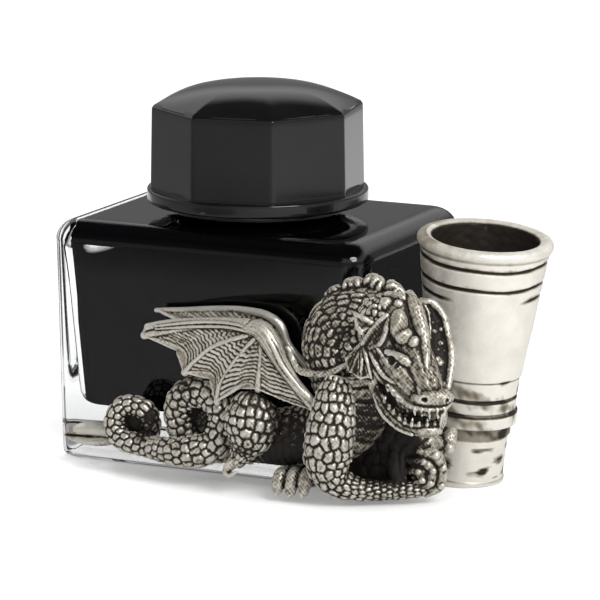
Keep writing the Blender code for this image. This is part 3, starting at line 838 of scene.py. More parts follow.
def mesh_arrays(mesh):
    """Points, edges and normals of a mesh as arrays."""
    co = np.empty(len(mesh.vertices) * 3, np.float32)
    mesh.vertices.foreach_get("co", co)
    edges = np.empty(len(mesh.edges) * 2, np.int32)
    mesh.edges.foreach_get("vertices", edges)
    normals = np.empty(len(mesh.vertices) * 3, np.float32)
    mesh.vertex_normals.foreach_get("vector", normals)
    return co.reshape(-1, 3).astype(float), edges.reshape(-1, 2), normals.reshape(-1, 3)


def relaxed(points, edges, rounds):
    """Points after rounds of moving halfway to the average of their neighbours."""
    first, second = edges[:, 0], edges[:, 1]
    count = len(points)
    degree = np.bincount(first, minlength=count) + np.bincount(second, minlength=count)
    degree = np.maximum(degree, 1)[:, None]
    for _ in range(rounds):
        total = np.stack([np.bincount(first, points[second, k], count)
                          + np.bincount(second, points[first, k], count) for k in range(3)], 1)
        points = points + 0.5 * (total / degree - points)
    return points


def nearness(points, centre, radius):
    """1 at a centre, falling to 0 a little beyond the radius."""
    return np.exp(-(np.linalg.norm(points - np.asarray(centre), axis=1) / radius) ** 4)


# How much fine and broad bumps raise the relief value, which starts at a half
FINE_SHARE = 0.24
BROAD_SHARE = 0.13


def cast(name, node, shells, voxel=0.16, dents=(), shade_pools=(), soften=1, roughen=0.06, metal=None):
    """One antiqued pewter casting made of closed shells, standing for a CAD node. dents are (centre,
    radius, depth), and the shade pools, (centre, radius, amount), lower the relief value there: painted
    shade, and a few darker patches; a negative amount brightens."""
    mesh = fused(shells, voxel)
    points, edges, normals = mesh_arrays(mesh)
    for centre, radius, depth in dents:
        points = points - normals * (nearness(points, centre, radius) * depth)[:, None]
    points = relaxed(points, edges, soften)
    bumps = waves(points, 1.3, 21) + 0.6 * waves(points, 0.5, 22)
    points = points + normals * (roughen * bumps)[:, None]
    fine = np.einsum("ij,ij->i", points - relaxed(points, edges, 10), normals)
    broad = np.einsum("ij,ij->i", points - relaxed(points, edges, 60), normals)
    relief = 0.5 + FINE_SHARE * np.clip(fine / fine.std(), -2.2, 2.0)
    relief += BROAD_SHARE * np.clip(broad / broad.std(), -2.2, 2.0)
    # painted shade: each pool darkens the relief value around its centre
    for centre, radius, amount in shade_pools:
        relief -= amount * nearness(points, centre, radius)
    mesh.vertices.foreach_set("co", (points * MM).astype(np.float32).ravel())
    layer = mesh.attributes.new("relief", "FLOAT", "POINT")
    layer.data.foreach_set("value", relief.astype(np.float32))
    mesh.update()
    mesh.shade_smooth()
    mesh.name = name
    stand_for(link_new(name, mesh), node, "bottle", metal or antiqued)


# ---- dragon: body and limbs ----

def make_torso():
    """Barrel of the body, scaled above and ribbed below, rising to the shoulders."""
    body = limb([(8.5, -27.0, 7.6, 3.2), (15, -27.8, 9.2, 4.6), (21, -28, 10.2, 5.4),
                 (26.5, -28, 11.4, 6.0), (30.6, -27.9, 14.4, 6.3), (32.2, -27.8, 19.0, 6.3),
                 (32.0, -27.8, 23.0, 6.2)],
                row=1.9, columns=18, plates=(1.5, 1.7), seed=3)
    # painted shade on the belly under the wing, low on the flank by the haunch and on the chest behind
    # the foreleg
    cast("torso_cast", "dragon_torso", [body],
         shade_pools=[((23.0, -33.0, 9.6), 6.8, 0.8), ((15.0, -31.0, 6.0), 6.0, 0.5),
                ((36.0, -32.0, 15.5), 4.5, 0.45)])


# Crest plates of the neck: place along the arch (x, z), half length, half height, tilt in degrees
CREST = ((25.6, 33.4, 1.3, 0.9, -58), (27.8, 36.3, 1.7, 1.1, -40), (31.6, 38.0, 2.2, 1.4, -12),
         (35.6, 38.6, 2.1, 1.6, 24), (39.7, 37.5, 2.5, 1.2, 45))


def make_neck():
    """Arched neck: uneven scales, plates inside, and thick rough leaf plates along the crest."""
    shells = [limb([(32.0, -27.8, 17.0, 6.2), (30.2, -27.6, 22.5, 6.3), (28.6, -27.5, 27.4, 6.3),
                    (29.8, -27.4, 31.0, 5.8), (33.6, -27.6, 32.8, 5.2), (38.4, -28.4, 31.8, 5.0),
                    (42.0, -30.3, 28.8, 4.6)],
                   row=1.95, columns=27, lift=0.5, plates=(0.55, 1.5), seed=8),
              scaled_ball((34.6, -30.4, 27.6), (5.4, 3.6, 5.0), 1.7, 6)]
    for x, z, long, high, tilt in CREST:
        turn = np.array(Matrix.Rotation(math.radians(tilt), 3, "Y"))
        shells.append(ball((x, -27.6, z), (long, 1.25, high), turn))
        along = turn @ np.array([1.0, 0, 0])
        up = turn @ np.array([0, 0, 1.0])
        middle = np.array([x, -28.3, z])
        for side in (-0.5, 0.0, 0.5):
            a = middle + along * long * side * 1.3 - up * high * 0.5
            b = middle + along * long * side + up * high * 0.55
            shells.append(rod([(*a, 0.35), (*((a + b) / 2 - np.array([0, 0.35, 0])), 0.45), (*b, 0.3)]))
    shells.append(rod([(20.8, -31.4, 26.6, 0.45), (23.4, -32.8, 23.4, 0.6), (26.8, -33.8, 23.1, 0.62),
                       (30.2, -34.2, 23.7, 0.6), (33.6, -33.8, 25.6, 0.45)]))
    # painted shade on the chest and inside the arch, and darker patches on the arch's top by the crest
    shade_pools = [((36.0, -33.0, 15.0), 3.8, 0.3), ((36.6, -31.0, 34.6), 2.2, 0.2),
             ((31.0, -30.0, 25.5), 9.0, 0.24), ((30.0, -29.0, 33.0), 5.0, 0.14)]
    cast("neck_cast", "dragon_neck", shells, shade_pools=shade_pools, roughen=0.085)


PAW_PLACE = np.array([42.9, -25.0, 6.0])


def on_paw(right, up, out):
    """A point given by its distances from the middle of the curled paw, seen three quarters on."""
    return PAW_PLACE + np.array([right * math.cos(FACING) + out * math.sin(FACING),
                                 right * math.sin(FACING) - out * math.cos(FACING), up])


def make_near_foreleg():
    """Foreleg in front: scaled arm and forearm, knuckled paw curled inwards, and two claws that
    hold the cup."""
    shells = [limb([(31.3, -33.0, 23.0, 2.2), (31.0, -34.0, 18.8, 3.6), (30.5, -34.9, 13.0, 4.2),
                    (29.9, -34.7, 8.2, 4.0), (31.0, -33.6, 4.6, 3.0), (34.6, -31.8, 2.9, 2.0),
                    (38.6, -29.2, 2.6, 1.75), (42.6, -26.8, 2.7, 1.6), (45.4, -24.6, 3.4, 1.3)],
                   row=1.9, columns=14, lift=0.62, up=(0, -1, 0), seed=5),
              # these two scaled plates behind the arm are a dark backing: painted shade filling the
              # hollow between arm and paw
              scaled_ball((37.0, -25.4, 8.6), (6.4, 1.6, 6.2), 2.6, 44),
              scaled_ball((33.6, -25.6, 5.2), (3.8, 1.5, 4.0), 2.6, 45),
              ball((41.6, -25.2, 11.0), (2.6, 1.3, 2.6)),
              ball(on_paw(0.0, 0.4, -0.8), (3.6, 2.2, 3.8)),
              scaled_ball(on_paw(0.3, 0.2, 0.5), (2.4, 2.0, 2.8), 1.3, 41)]
    fingers = (((1.9, 5.0, 0.2, 0.8), (0.2, 3.4, 1.4, 0.9), (2.6, 2.9, 1.7, 1.05), (3.8, 0.6, 1.5, 0.9),
                (3.5, -2.6, 1.4, 0.95), (1.2, -4.2, 1.4, 0.7)),
               ((-1.6, 1.6, 1.3, 0.6), (0.5, 1.7, 2.0, 0.85), (2.1, 0.2, 2.2, 0.75),
                (1.7, -1.9, 2.2, 0.85), (0.0, -3.0, 1.8, 0.6)),
               ((-2.4, -0.2, 1.2, 0.55), (-0.4, 0.0, 2.1, 0.8), (0.3, -1.4, 2.3, 0.7),
                (-1.2, -2.5, 1.7, 0.55)))
    for finger in fingers:
        shells.append(rod([(*on_paw(right, up, out), size) for right, up, out, size in finger], 0.2))
        for right, up, out, size in finger[1:-1]:
            knuckle = (size * 0.85, size * 0.8, size * 0.8)
            shells.append(ball(on_paw(right + 0.2, up, out + 0.45), knuckle))
    shells.append(rod([(*on_paw(-4.4, 2.6, 0.0), 0.9), (*on_paw(-4.4, 0.4, 0.9), 1.2),
                       (*on_paw(-3.6, -1.8, 1.2), 1.25)]))
    shells.append(rod([(*on_paw(-3.0, 2.6, 0.4), 0.6), (*on_paw(-3.1, 0.6, 1.2), 0.8),
                       (*on_paw(-2.9, -1.6, 1.6), 0.8)]))
    shells.append(rod([(42.4, -23.0, 9.0, 1.0), (43.4, -20.2, 9.6, 1.3), (44.0, -18.0, 8.8, 1.3)]))
    for x, y, z in ((43.7, -17.6, 8.9), (45.4, -16.9, 9.9)):
        shells.append(rod([(x + 0.2, y - 1.4, z - 1.6, 1.0), (x, y - 0.6, z, 1.3),
                           (x, y + 0.2, z + 0.9, 1.1)], 0.2))
    # painted shade on the backing in the hollow, and at the top of the paw
    shade_pools = [((37.0, -26.6, 9.0), 6.6, 1.1), ((33.4, -27.0, 6.0), 4.0, 1.1),
             (on_paw(-1.6, 3.0, 0.2), 1.2, 0.5)]
    cast("near_foreleg_cast", "dragon_near_foreleg", shells, shade_pools=shade_pools)


def make_far_foreleg():
    """Far forepaw reaching forward under the chest: three fat knuckled toes side by side."""
    shells = [limb([(28.6, -26.6, 3.2, 1.6), (26.0, -28.4, 3.8, 2.0), (23.8, -31.0, 4.2, 2.3),
                    (23.2, -33.2, 4.2, 2.0)],
                   row=1.6, columns=10, seed=12)]
    for x, top, bottom in ((20.6, 4.6, 2.2), (23.1, 4.9, 2.0), (25.6, 5.1, 2.4)):
        shells.append(rod([(x + 0.4, -31.6, top - 0.2, 1.2), (x + 0.1, -33.6, top, 1.3),
                           (x, -34.8, (top + bottom) / 2, 1.2), (x - 0.1, -35.0, bottom, 0.95)], 0.2))
        shells.append(scaled_ball((x, -34.2, top - 0.9), (1.3, 1.3, 1.7), 1.15, 50 + int(x)))
        shells.append(cone((x - 0.1, -35.2, bottom + 0.1), (x - 0.2, -35.9, 1.0), 0.6))
    # painted shade under the chest behind the paw and between its toes
    cast("far_foreleg_cast", "dragon_far_foreleg", shells, voxel=0.14,
         shade_pools=[((24.5, -29.6, 5.4), 3.0, 0.6), ((21.8, -34.4, 3.4), 1.3, 0.6),
                ((24.4, -34.4, 3.4), 1.3, 0.6), ((23.2, -31.6, 5.4), 2.6, 0.3)])


def make_hind_leg():
    """Round scaled haunch, short shank and a hooked spur."""
    shells = [limb([(15.2, -31.8, 18.2, 1.0), (15.0, -32.6, 16.6, 3.8), (14.7, -33.0, 13.3, 4.9),
                    (14.1, -33.2, 10.3, 4.1), (13.2, -33.4, 8.2, 2.6), (12.4, -34.0, 6.6, 1.7),
                    (11.8, -34.4, 5.4, 1.3)],
                   row=1.75, columns=16, lift=0.6, up=(0, -1, 0), seed=17),
              rod([(12.0, -34.8, 6.2, 1.0), (11.2, -35.3, 5.2, 0.9), (10.9, -35.6, 4.3, 0.65),
                   (11.6, -35.8, 3.9, 0.5), (12.7, -35.7, 4.5, 0.3)], 0.18)]
    # painted shade on the top of the haunch under the wing, on its sides and on the shank
    shade_pools = [((15.6, -31.6, 18.4), 4.6, 0.6), ((20.0, -32.4, 12.6), 3.4, 0.6),
             ((10.4, -32.6, 11.4), 3.4, 0.6), ((14.8, -36.0, 9.4), 1.8, 0.3)]
    cast("hind_leg_cast", "dragon_hind_leg", shells, shade_pools=shade_pools)


def loop_stations(centre, radius, y_from, y_to, r_from, r_to, count=16):
    """Stations of one clockwise loop, from its lowest point round to the same point."""
    out = []
    for i in range(count + 1):
        t = i / count
        angle = -math.pi / 2 - 2 * math.pi * t
        out.append((centre[0] + radius * math.cos(angle), y_from + (y_to - y_from) * t,
                    centre[1] + radius * math.sin(angle), r_from + (r_to - r_from) * t))
    return out


def make_tail_coil():
    """Thick part of the tail with one full coil around a dark knob."""
    stations = [(13.0, -26.3, 7.4, 3.0), (7.5, -26.1, 6.1, 2.9)]
    stations += loop_stations((3.1, 11.6), 5.1, -26.4, -32.2, 2.9, 2.8)
    stations += [(0.2, -32.3, 6.2, 2.6), (-3.4, -31.6, 6.0, 2.3), (-6.0, -31.0, 6.0, 2.1)]
    shells = [limb(stations, row=1.75, columns=10, lift=0.6, up=(0, -1, 0), spacing=0.18, seed=23),
              ball((3.2, -27.2, 11.8), (3.2, 2.0, 3.4)), ball((3.3, -28.6, 11.4), (1.5, 1.3, 2.3))]
    # painted shade on the knob inside the coil, on the coil's top under the wing, low at its start and
    # between it and the haunch
    cast("tail_coil_cast", "dragon_tail_coil", shells,
         shade_pools=[((3.2, -28.0, 11.8), 3.0, 0.55), ((7.8, -29.5, 5.8), 2.6, 0.3),
                ((1.6, -28.6, 17.6), 3.4, 0.45), ((10.4, -29.6, 12.0), 2.6, 0.55)])


def make_tail_end():
    """Thin end of the tail: a small loop, then a smooth pointed tip with a slit along it."""
    stations = [(-3.0, -31.5, 6.0, 2.1), (-7.0, -30.9, 6.1, 1.95)]
    stations += loop_stations((-10.8, 9.6), 3.2, -30.6, -27.0, 1.95, 1.7, 12)
    stations += [(-13.6, -26.8, 6.4, 1.5), (-16.4, -26.6, 6.4, 1.3)]
    shells = [limb(stations, row=1.6, columns=8, lift=0.5, up=(0, -1, 0), spacing=0.16, seed=31,
                   bare=1.0),
              ball((-10.8, -27.6, 9.6), (2.2, 1.5, 2.3)),
              rod([(-25.8, -26.6, 5.4, 0.12), (-23.4, -26.9, 6.5, 0.85), (-20.4, -27.1, 7.2, 1.3),
                   (-17.4, -27.0, 7.3, 1.35), (-15.2, -26.8, 7.0, 1.1)], 0.2),
              rod([(-25.8, -26.7, 5.2, 0.12), (-23.2, -27.2, 4.9, 0.55), (-20.0, -27.4, 4.8, 0.72),
                   (-17.2, -27.2, 5.1, 0.8), (-15.0, -26.9, 5.8, 0.9)], 0.2),
              rod([(-24.4, -26.2, 5.6, 0.5), (-20.0, -26.1, 5.9, 0.9), (-16.4, -26.3, 6.2, 0.9)], 0.2)]
    # painted shade in and around the small loop, near the ground and in the slit; the tip is made
    # brighter and more polished
    cast("tail_end_cast", "dragon_tail_end", shells, voxel=0.14, roughen=0.03,
         shade_pools=[((-10.8, -27.8, 9.4), 2.3, 0.7), ((-7.2, -28.8, 11.4), 1.2, 0.6),
                ((-7.0, -30.4, 9.0), 2.8, 0.6), ((-13.6, -28.6, 6.6), 2.4, 0.6),
                ((-20.6, -27.2, 5.9), 0.9, 0.4),
                ((-19.6, -27.4, 7.5), 3.4, -0.45), ((-20.0, -27.6, 4.8), 2.6, -0.35),
                ((-24.6, -27.0, 5.8), 1.6, 0.3), ((-18.6, -27.6, 4.0), 1.6, 0.5)])


# ---- dragon: wings ----

def membrane(first, second, sag, billow, ripples, seed):
    """A web between two finger curves: scalloped at its free edge, hollow, and rippled across."""
    rows, columns = 210, 30
    s = np.linspace(0.02, 1, rows)
    grid = np.zeros((rows, columns, 3))
    a, b = at_share(first, s), at_share(second, s)
    root = (first[0] + second[0]) / 2
    for j in range(columns):
        t = j / (columns - 1)
        line = a + (b - a) * t
        hang = 4 * t * (1 - t)
        pull = (sag * hang * s ** 2)[:, None]
        line = line + (root - line) / np.maximum(np.linalg.norm(root - line, axis=1), 1)[:, None] * pull
        wave = ripples * (s + 0.020 * math.sin(7 * t + seed) + 0.008 * math.sin(19 * t + 2 * seed))
        tall = 0.22 + 0.06 * np.sin(wave * 1.7 + seed)
        crest = np.clip(np.sin(2 * math.pi * wave), -0.4, 1)
        edge = np.clip((s - 0.955) / 0.03, 0, 1)
        relief = np.maximum(crest * tall * np.clip(hang * 4, 0, 1) * np.clip(s * 4, 0, 1), edge * 0.35)
        line[:, 1] += billow * hang * s - relief
        grid[:, j] = line
    return sheet(grid, 0.7)


def wing(fingers, sags, ripples, billow, bulb=1.0):
    """Fingers through (x, y, z) points with a web between neighbours; each ends in a small bulb."""
    shells, curves = [], []
    for radius, points in fingers:
        last = len(points) - 1
        stations = [(*p, radius * (1 - 0.25 * i / last)) for i, p in enumerate(points)]
        stations[-1] = (*points[-1], radius * bulb * 0.8)
        shells.append(rod(stations, 0.2))
        curves.append(spline(points, 0.4))
    for i, (sag, count) in enumerate(zip(sags, ripples)):
        shells.append(membrane(curves[i], curves[i + 1], sag, billow, count, i))
    return shells


def make_near_wing():
    """Wing in front, half folded: broad elbow and arm, fingers and four rippled webs."""
    fingers = [(0.62, [(13.4, -33.3, 29.6), (3.7, -33.0, 28.9), (-6.5, -32.4, 26.5)]),
               (0.60, [(14.2, -33.5, 28.7), (7.9, -33.8, 26.2), (4.0, -33.8, 23.0), (2.0, -33.6, 20.9)]),
               (0.56, [(15.6, -33.6, 28.2), (11.8, -33.9, 23.8), (9.1, -34.0, 19.6), (8.4, -33.9, 16.3)]),
               (0.62, [(17.0, -33.7, 27.6), (16.8, -34.1, 23.6), (16.5, -34.2, 19.5)]),
               (0.60, [(18.4, -33.6, 27.0), (21.4, -33.8, 22.6), (26.8, -33.4, 16.6)])]
    shells = wing(fingers, (3.4, 3.2, 1.9, -0.6), (17, 13, 11, 12), 0.55, 1.5)
    shells.append(rod([(-5.9, -32.3, 28.0, 0.7), (-2.1, -32.5, 29.1, 0.62), (3.7, -32.9, 30.0, 0.66),
                       (9.6, -33.2, 30.6, 0.75), (14.0, -33.4, 30.6, 1.0)], 0.25))
    shells.append(rod([(-6.5, -32.4, 26.7, 0.5), (-5.9, -32.3, 28.0, 0.62)], 0.2))
    shells.append(ball((15.4, -33.2, 29.6), (3.2, 1.0, 1.8)))
    shells.append(rod([(13.6, -33.4, 30.0, 1.0), (16.6, -33.5, 29.8, 1.7), (18.7, -33.6, 27.6, 1.75),
                       (20.4, -33.6, 24.6, 1.3), (23.0, -33.5, 21.2, 1.05), (25.6, -33.3, 18.6, 0.85),
                       (27.6, -33.0, 16.4, 0.6)], 0.25))
    for lift in (0.0, 0.75):
        shells.append(rod([(-4.0, -33.0, 28.0 + lift * 0.6, 0.2), (3.7, -33.5, 29.2 + lift, 0.28),
                           (10.0, -33.9, 29.8 + lift, 0.28), (14.6, -34.2, 29.5 + lift, 0.3)]))
    shells.append(rod([(16.0, -34.4, 30.4, 0.3), (19.2, -34.9, 28.0, 0.45), (21.4, -34.6, 24.0, 0.4),
                       (25.0, -34.0, 19.6, 0.3)]))
    cast("near_wing_cast", "dragon_near_wing", shells, voxel=0.11, roughen=0.02, metal=wing_metal)


def make_far_wing():
    """Wing behind, against the glass: its leading edge and arm show above the wing in front."""
    fingers = [(0.50, [(12.6, -25.2, 30.6), (3.8, -25.2, 30.5), (-7.6, -25.2, 29.5)]),
               (0.50, [(13.0, -25.2, 29.8), (7.0, -25.4, 27.0), (2.0, -25.4, 23.6)]),
               (0.50, [(14.0, -25.2, 29.4), (11.0, -25.4, 24.6), (9.4, -25.4, 20.4)]),
               (0.60, [(16.0, -25.2, 28.6), (17.8, -25.4, 25.0), (20.8, -25.2, 21.0)])]
    shells = wing(fingers, (2.6, 2.2, 1.6), (16, 14, 13), 0.3)
    shells.append(rod([(-7.8, -25.2, 29.5, 0.45), (-2.1, -25.2, 30.1, 0.5), (3.8, -25.2, 30.8, 0.55),
                       (8.9, -25.2, 31.1, 0.6), (13.5, -25.2, 30.6, 0.75), (16.4, -25.2, 28.9, 0.8),
                       (18.0, -25.2, 25.6, 0.7), (21.6, -25.2, 21.9, 0.6)], 0.25))
    cast("far_wing_cast", "dragon_far_wing", shells, voxel=0.14, roughen=0.02, metal=wing_metal)


# ---- dragon: head ----

HEAD_PLACE = np.array([41.84, -32.75, 28.63])
HEAD_SCALE = 0.975
HEAD_NOD = math.radians(11.8)
HEAD_RIGHT = np.array([math.cos(FACING), math.sin(FACING), 0.0])
HEAD_OUT = np.array([math.sin(FACING) * math.cos(HEAD_NOD), -math.cos(FACING) * math.cos(HEAD_NOD),
                     math.sin(HEAD_NOD)])
HEAD_UP = np.cross(HEAD_OUT, HEAD_RIGHT)


def on_head(right, up, out):
    """A point given by its distances from the middle of the head: right, up and out of the face."""
    return HEAD_PLACE + HEAD_SCALE * (right * HEAD_RIGHT + up * HEAD_UP + out * HEAD_OUT)


def head_rod(*stations):
    """A rod through (right, up, out, radius) stations on the head."""
    return rod([(*on_head(r, u, o), radius) for r, u, o, radius in stations], 0.2, 12)


def head_ball(place, radii):
    """An ellipsoid whose axes follow the head."""
    turn = np.stack([HEAD_RIGHT, HEAD_UP, HEAD_OUT], 1)
    return ball(on_head(*place), radii, turn)


def head_web(first, second, thickness, hollow=0.0, steps=24):
    """A plate between two curves on the head, pushed inwards along its middle."""
    a = spline([on_head(*p) for p in first], 0.25)
    b = spline([on_head(*p) for p in second], 0.25)
    start, end = (at_share(line, np.linspace(0, 1, steps)) for line in (a, b))
    grid = [start + (end - start) * s - HEAD_OUT * hollow * 4 * s * (1 - s)
            for s in np.linspace(0, 1, 10)]
    return sheet(np.stack(grid, 1), thickness)


UPPER_LIP = [(-5.6, -0.4, 0.6, 0.34), (-3.1, -4.8, 2.1, 0.42), (-1.0, -6.9, 3.3, 0.48),
             (1.1, -9.2, 4.5, 0.55), (2.9, -10.2, 5.5, 0.52), (5.7, -10.5, 6.1, 0.50),
             (8.4, -10.1, 5.4, 0.48), (9.6, -8.3, 4.3, 0.45)]
LOWER_LIP = [(-3.3, -6.6, 1.9, 0.30), (-1.2, -10.3, 3.0, 0.34), (1.6, -12.8, 4.5, 0.36),
             (4.0, -13.1, 5.7, 0.36), (7.3, -12.8, 5.2, 0.34)]


def teeth(lip, count, start, end, length, seed):
    """A row of pointed teeth along a lip, of slightly different lengths, and their middles."""
    line = spline(lip, 0.1)
    row, middles = [], []
    for i in range(count):
        at = int((start + (end - start) * i / (count - 1)) * (len(line) - 1))
        r, u, o = line[at, :3]
        reach = length * (0.7 + 0.5 * hashed(i, seed, 3))
        row.append(cone(on_head(r, u, o + 0.25), on_head(r + 0.12, u + reach, o + 0.1), 0.40))
        middles.append(on_head(r + 0.06, u + reach * 0.7, o + 0.3))
    return row, middles


def make_head():
    """Head bowed over the paw: brows, eye, nose ridge, nostrils, open mouth with teeth, frills."""
    shells = [
        scaled_ball(on_head(-2.4, 4.2, -2.4), (4.9, 3.8, 5.2), 1.5, 51),
        head_ball((0.4, 4.0, -1.2), (4.0, 5.2, 3.7)),
        head_ball((2.6, 3.4, -0.8), (2.6, 5.2, 3.0)),
        head_ball((-2.4, 0.4, -0.4), (3.2, 4.2, 2.7)),
        head_rod((2.6, 1.0, 0.4, 3.2), (4.2, -3.5, 2.3, 3.0), (5.6, -7.2, 3.8, 2.7)),
        head_rod((-2.0, -1.0, 0.0, 2.6), (0.6, -4.0, 2.0, 2.4), (3.4, -7.0, 3.4, 2.1)),
        head_rod((-3.6, -4.4, -0.8, 1.6), (-0.6, -8.6, 0.2, 1.7), (3.0, -11.2, 1.6, 1.6)),
        head_ball((6.1, -8.4, 4.4), (3.7, 2.0, 2.6)),
        head_ball((4.5, -8.5, 5.9), (1.5, 1.0, 1.0)),
        head_ball((8.2, -8.4, 4.9), (1.3, 0.95, 1.0)),
        head_ball((0.4, 4.3, 2.6), (1.6, 2.7, 1.5)),
        head_ball((1.3, 2.3, 3.1), (1.6, 1.5, 1.2)),
        head_ball((3.0, 1.2, 3.3), (1.2, 1.2, 1.1)),
        head_rod((-1.7, -0.5, 2.8, 0.5), (0.3, -1.3, 3.8, 0.8), (1.7, -2.1, 4.1, 0.85),
                 (2.8, -3.0, 4.3, 0.5)),
        head_ball((0.0, -2.5, 3.2), (0.95, 0.85, 0.95)),
        head_rod((-1.8, -1.9, 2.6, 0.28), (-0.6, -4.1, 3.4, 0.36), (1.6, -4.4, 4.1, 0.36),
                 (2.8, -3.5, 4.4, 0.30)),
        head_rod((-5.2, 1.4, 0.5, 0.36), (-3.9, -2.0, 1.9, 0.42), (-1.9, -4.9, 2.9, 0.46),
                 (0.9, -5.8, 3.8, 0.46), (2.9, -5.2, 4.6, 0.38)),
        head_rod((-4.6, 2.0, 1.0, 0.30), (-2.8, -0.6, 2.4, 0.34), (-1.8, -1.9, 2.7, 0.30)),
        head_rod((2.4, 9.6, -0.6, 0.80), (3.3, 7.2, 1.1, 1.35), (4.1, 4.7, 2.1, 1.30),
                 (4.8, 1.9, 3.0, 1.05), (5.1, -1.6, 4.2, 0.78), (5.2, -4.6, 5.1, 0.66),
                 (5.8, -7.0, 6.0, 0.50)),
        head_rod((3.4, -5.6, 4.9, 0.34), (3.9, -7.0, 5.7, 0.42), (4.0, -7.9, 6.2, 0.36)),
        head_rod((6.9, -5.0, 4.3, 0.30), (7.5, -6.6, 5.0, 0.40), (8.2, -7.6, 5.2, 0.34)),
        head_rod((-1.2, 9.2, -0.8, 1.0), (1.0, 8.8, 0.0, 1.0)),
        head_ball((-1.7, 7.7, 0.3), (1.35, 1.35, 1.0)),
        head_ball((0.4, 7.6, 1.0), (0.9, 1.1, 0.8)),
        head_ball((-3.7, 6.9, -0.2), (1.2, 1.2, 0.9)),
        head_rod(*UPPER_LIP),
        head_rod((-3.9, -5.6, 0.4, 1.25), (-1.9, -10.2, 1.6, 1.05), (0.8, -13.0, 3.2, 0.95),
                 (3.6, -14.0, 4.4, 1.05), (6.4, -14.0, 4.5, 1.15)),
        head_rod((7.9, -9.6, 0.8, 0.9), (7.8, -12.2, 3.2, 1.0), (6.6, -14.0, 4.4, 1.15)),
        head_ball((5.4, -14.1, 4.3), (2.5, 1.15, 1.8)),
        head_ball((3.8, -12.9, 2.0), (3.4, 1.2, 1.9)),
        head_rod((2.0, -12.0, 2.6, 0.9), (4.6, -12.3, 4.2, 0.8), (5.8, -12.5, 4.9, 0.5)),
        head_rod(*LOWER_LIP),
        head_rod((-4.4, -5.6, 0.9, 0.30), (-2.9, -10.6, 2.0, 0.36), (-0.2, -13.5, 3.4, 0.36),
                 (2.6, -14.8, 4.9, 0.34)),
        cone(on_head(7.7, -10.2, 5.6), on_head(7.5, -13.9, 6.0), 0.5),
    ]
    upper_teeth, tips = teeth(UPPER_LIP, 10, 0.34, 0.88, -1.7, 2)
    lower_teeth, low_tips = teeth(LOWER_LIP, 9, 0.20, 0.95, 1.4, 7)
    shells += upper_teeth + lower_teeth
    tips += low_tips
    # ear and horn behind the brow
    ear_top = [(-5.8, 0.9, 0.6), (-3.9, 3.8, 1.7), (-1.7, 5.9, 2.4)]
    ear_low = [(-5.0, -0.2, 1.0), (-2.6, 1.2, 2.4), (-1.3, 5.2, 2.5)]
    horn_top = [(-7.0, 5.9, 0.9), (-5.4, 5.2, 1.4), (-3.8, 4.2, 1.6)]
    horn_low = [(-7.0, 5.7, 0.8), (-6.8, 4.2, 1.0), (-6.1, 2.8, 1.2)]
    for top, low in ((ear_top, ear_low), (horn_top, horn_low)):
        shells.append(head_web(top, low, 0.9, 0.3))
        shells.append(head_rod(*((*p, 0.48) for p in top)))
        shells.append(head_rod(*((*p, 0.40) for p in low)))
    # folds of skin from the ear down to the throat
    spokes = [(-4.4, -5.0, 1.2), (-6.2, -5.2, 0.6), (-8.0, -4.0, -0.2), (-8.8, -1.8, -0.9)]
    apex = (-5.8, 0.8, 0.3)
    for a, b in zip(spokes[:-1], spokes[1:]):
        shells.append(head_web([apex, a], [apex, b], 1.5, 0.2, 16))
    for x, y, z in spokes:
        shells.append(head_rod((*apex, 0.36), ((apex[0] + x) / 2, (apex[1] + y) / 2, z + 0.75, 0.30),
                               (x, y, z + 0.35, 0.24)))
    # fin behind the far ear, with a thick rim and a pebbled hollow
    inner = [(4.0, 8.6, -0.9), (5.3, 6.0, -0.4), (5.6, 1.0, 0.4), (5.9, -3.0, 1.6), (6.6, -6.4, 2.6)]
    rim = [(4.6, 8.2, -0.9), (6.2, 8.2, -1.0), (7.5, 6.9, -1.0), (8.5, 5.2, -0.9), (9.2, 1.9, -0.5),
           (9.7, -0.9, 0.0), (9.5, -3.8, 0.8), (9.0, -6.6, 2.0)]
    shells.append(head_web(inner, rim, 1.1, 0.9, 40))
    rim_radii = (0.45, 0.62, 0.62, 0.60, 0.58, 0.72, 0.70, 0.50)
    shells.append(head_rod(*((*p, r) for p, r in zip(rim, rim_radii))))
    for i in range(22):
        t, s = (i + 0.5) / 22, 0.22 + 0.6 * hashed(i, 3, 9)
        place = at_share(inner, t) + (at_share(rim, t) - at_share(inner, t)) * s
        place[2] += -0.1 - 0.9 * 4 * s * (1 - s)
        size = 0.6 + 0.5 * hashed(i, 11, 2)
        shells.append(ball(on_head(*place), (size, size, size * 0.8), None, 8, 10))
    dents = [(on_head(4.7, -8.8, 6.9), 0.5, 0.8), (on_head(8.5, -8.7, 5.8), 0.5, 0.8),
             (on_head(-1.0, -1.9, 3.8), 0.7, 0.5), (on_head(0.0, -2.8, 4.3), 0.4, 0.25)]
    gape = ((-2.3, -6.8, 2.4), (-0.9, -8.8, 3.2), (0.5, -10.4, 4.0), (2.2, -11.5, 4.8),
            (4.2, -11.9, 5.4), (6.2, -11.8, 5.4))
    dents += [(on_head(*place), 0.65, 0.8) for place in gape]
    # painted shade inside the open mouth, behind the brow, in the fin's hollow, by the eye and in the ear
    # folds; the teeth tips are made bright
    shade_pools = [(on_head(*place), 1.45, 0.9) for place in gape]
    shade_pools += [(tip, 0.42, -1.0) for tip in tips]
    shade_pools += [(on_head(7.2, 1.0, -0.2), 2.3, 0.40), (on_head(6.6, 5.2, -0.9), 1.6, 0.40),
              (on_head(-0.2, -2.6, 3.4), 1.0, 0.4), (on_head(-6.4, -2.4, 0.0), 2.6, 0.3),
              (on_head(-2.4, 2.0, 0.6), 2.0, 0.3)]
    cast("head_cast", "dragon_head", shells, 0.13, dents, shade_pools, soften=2, roughen=0.04)


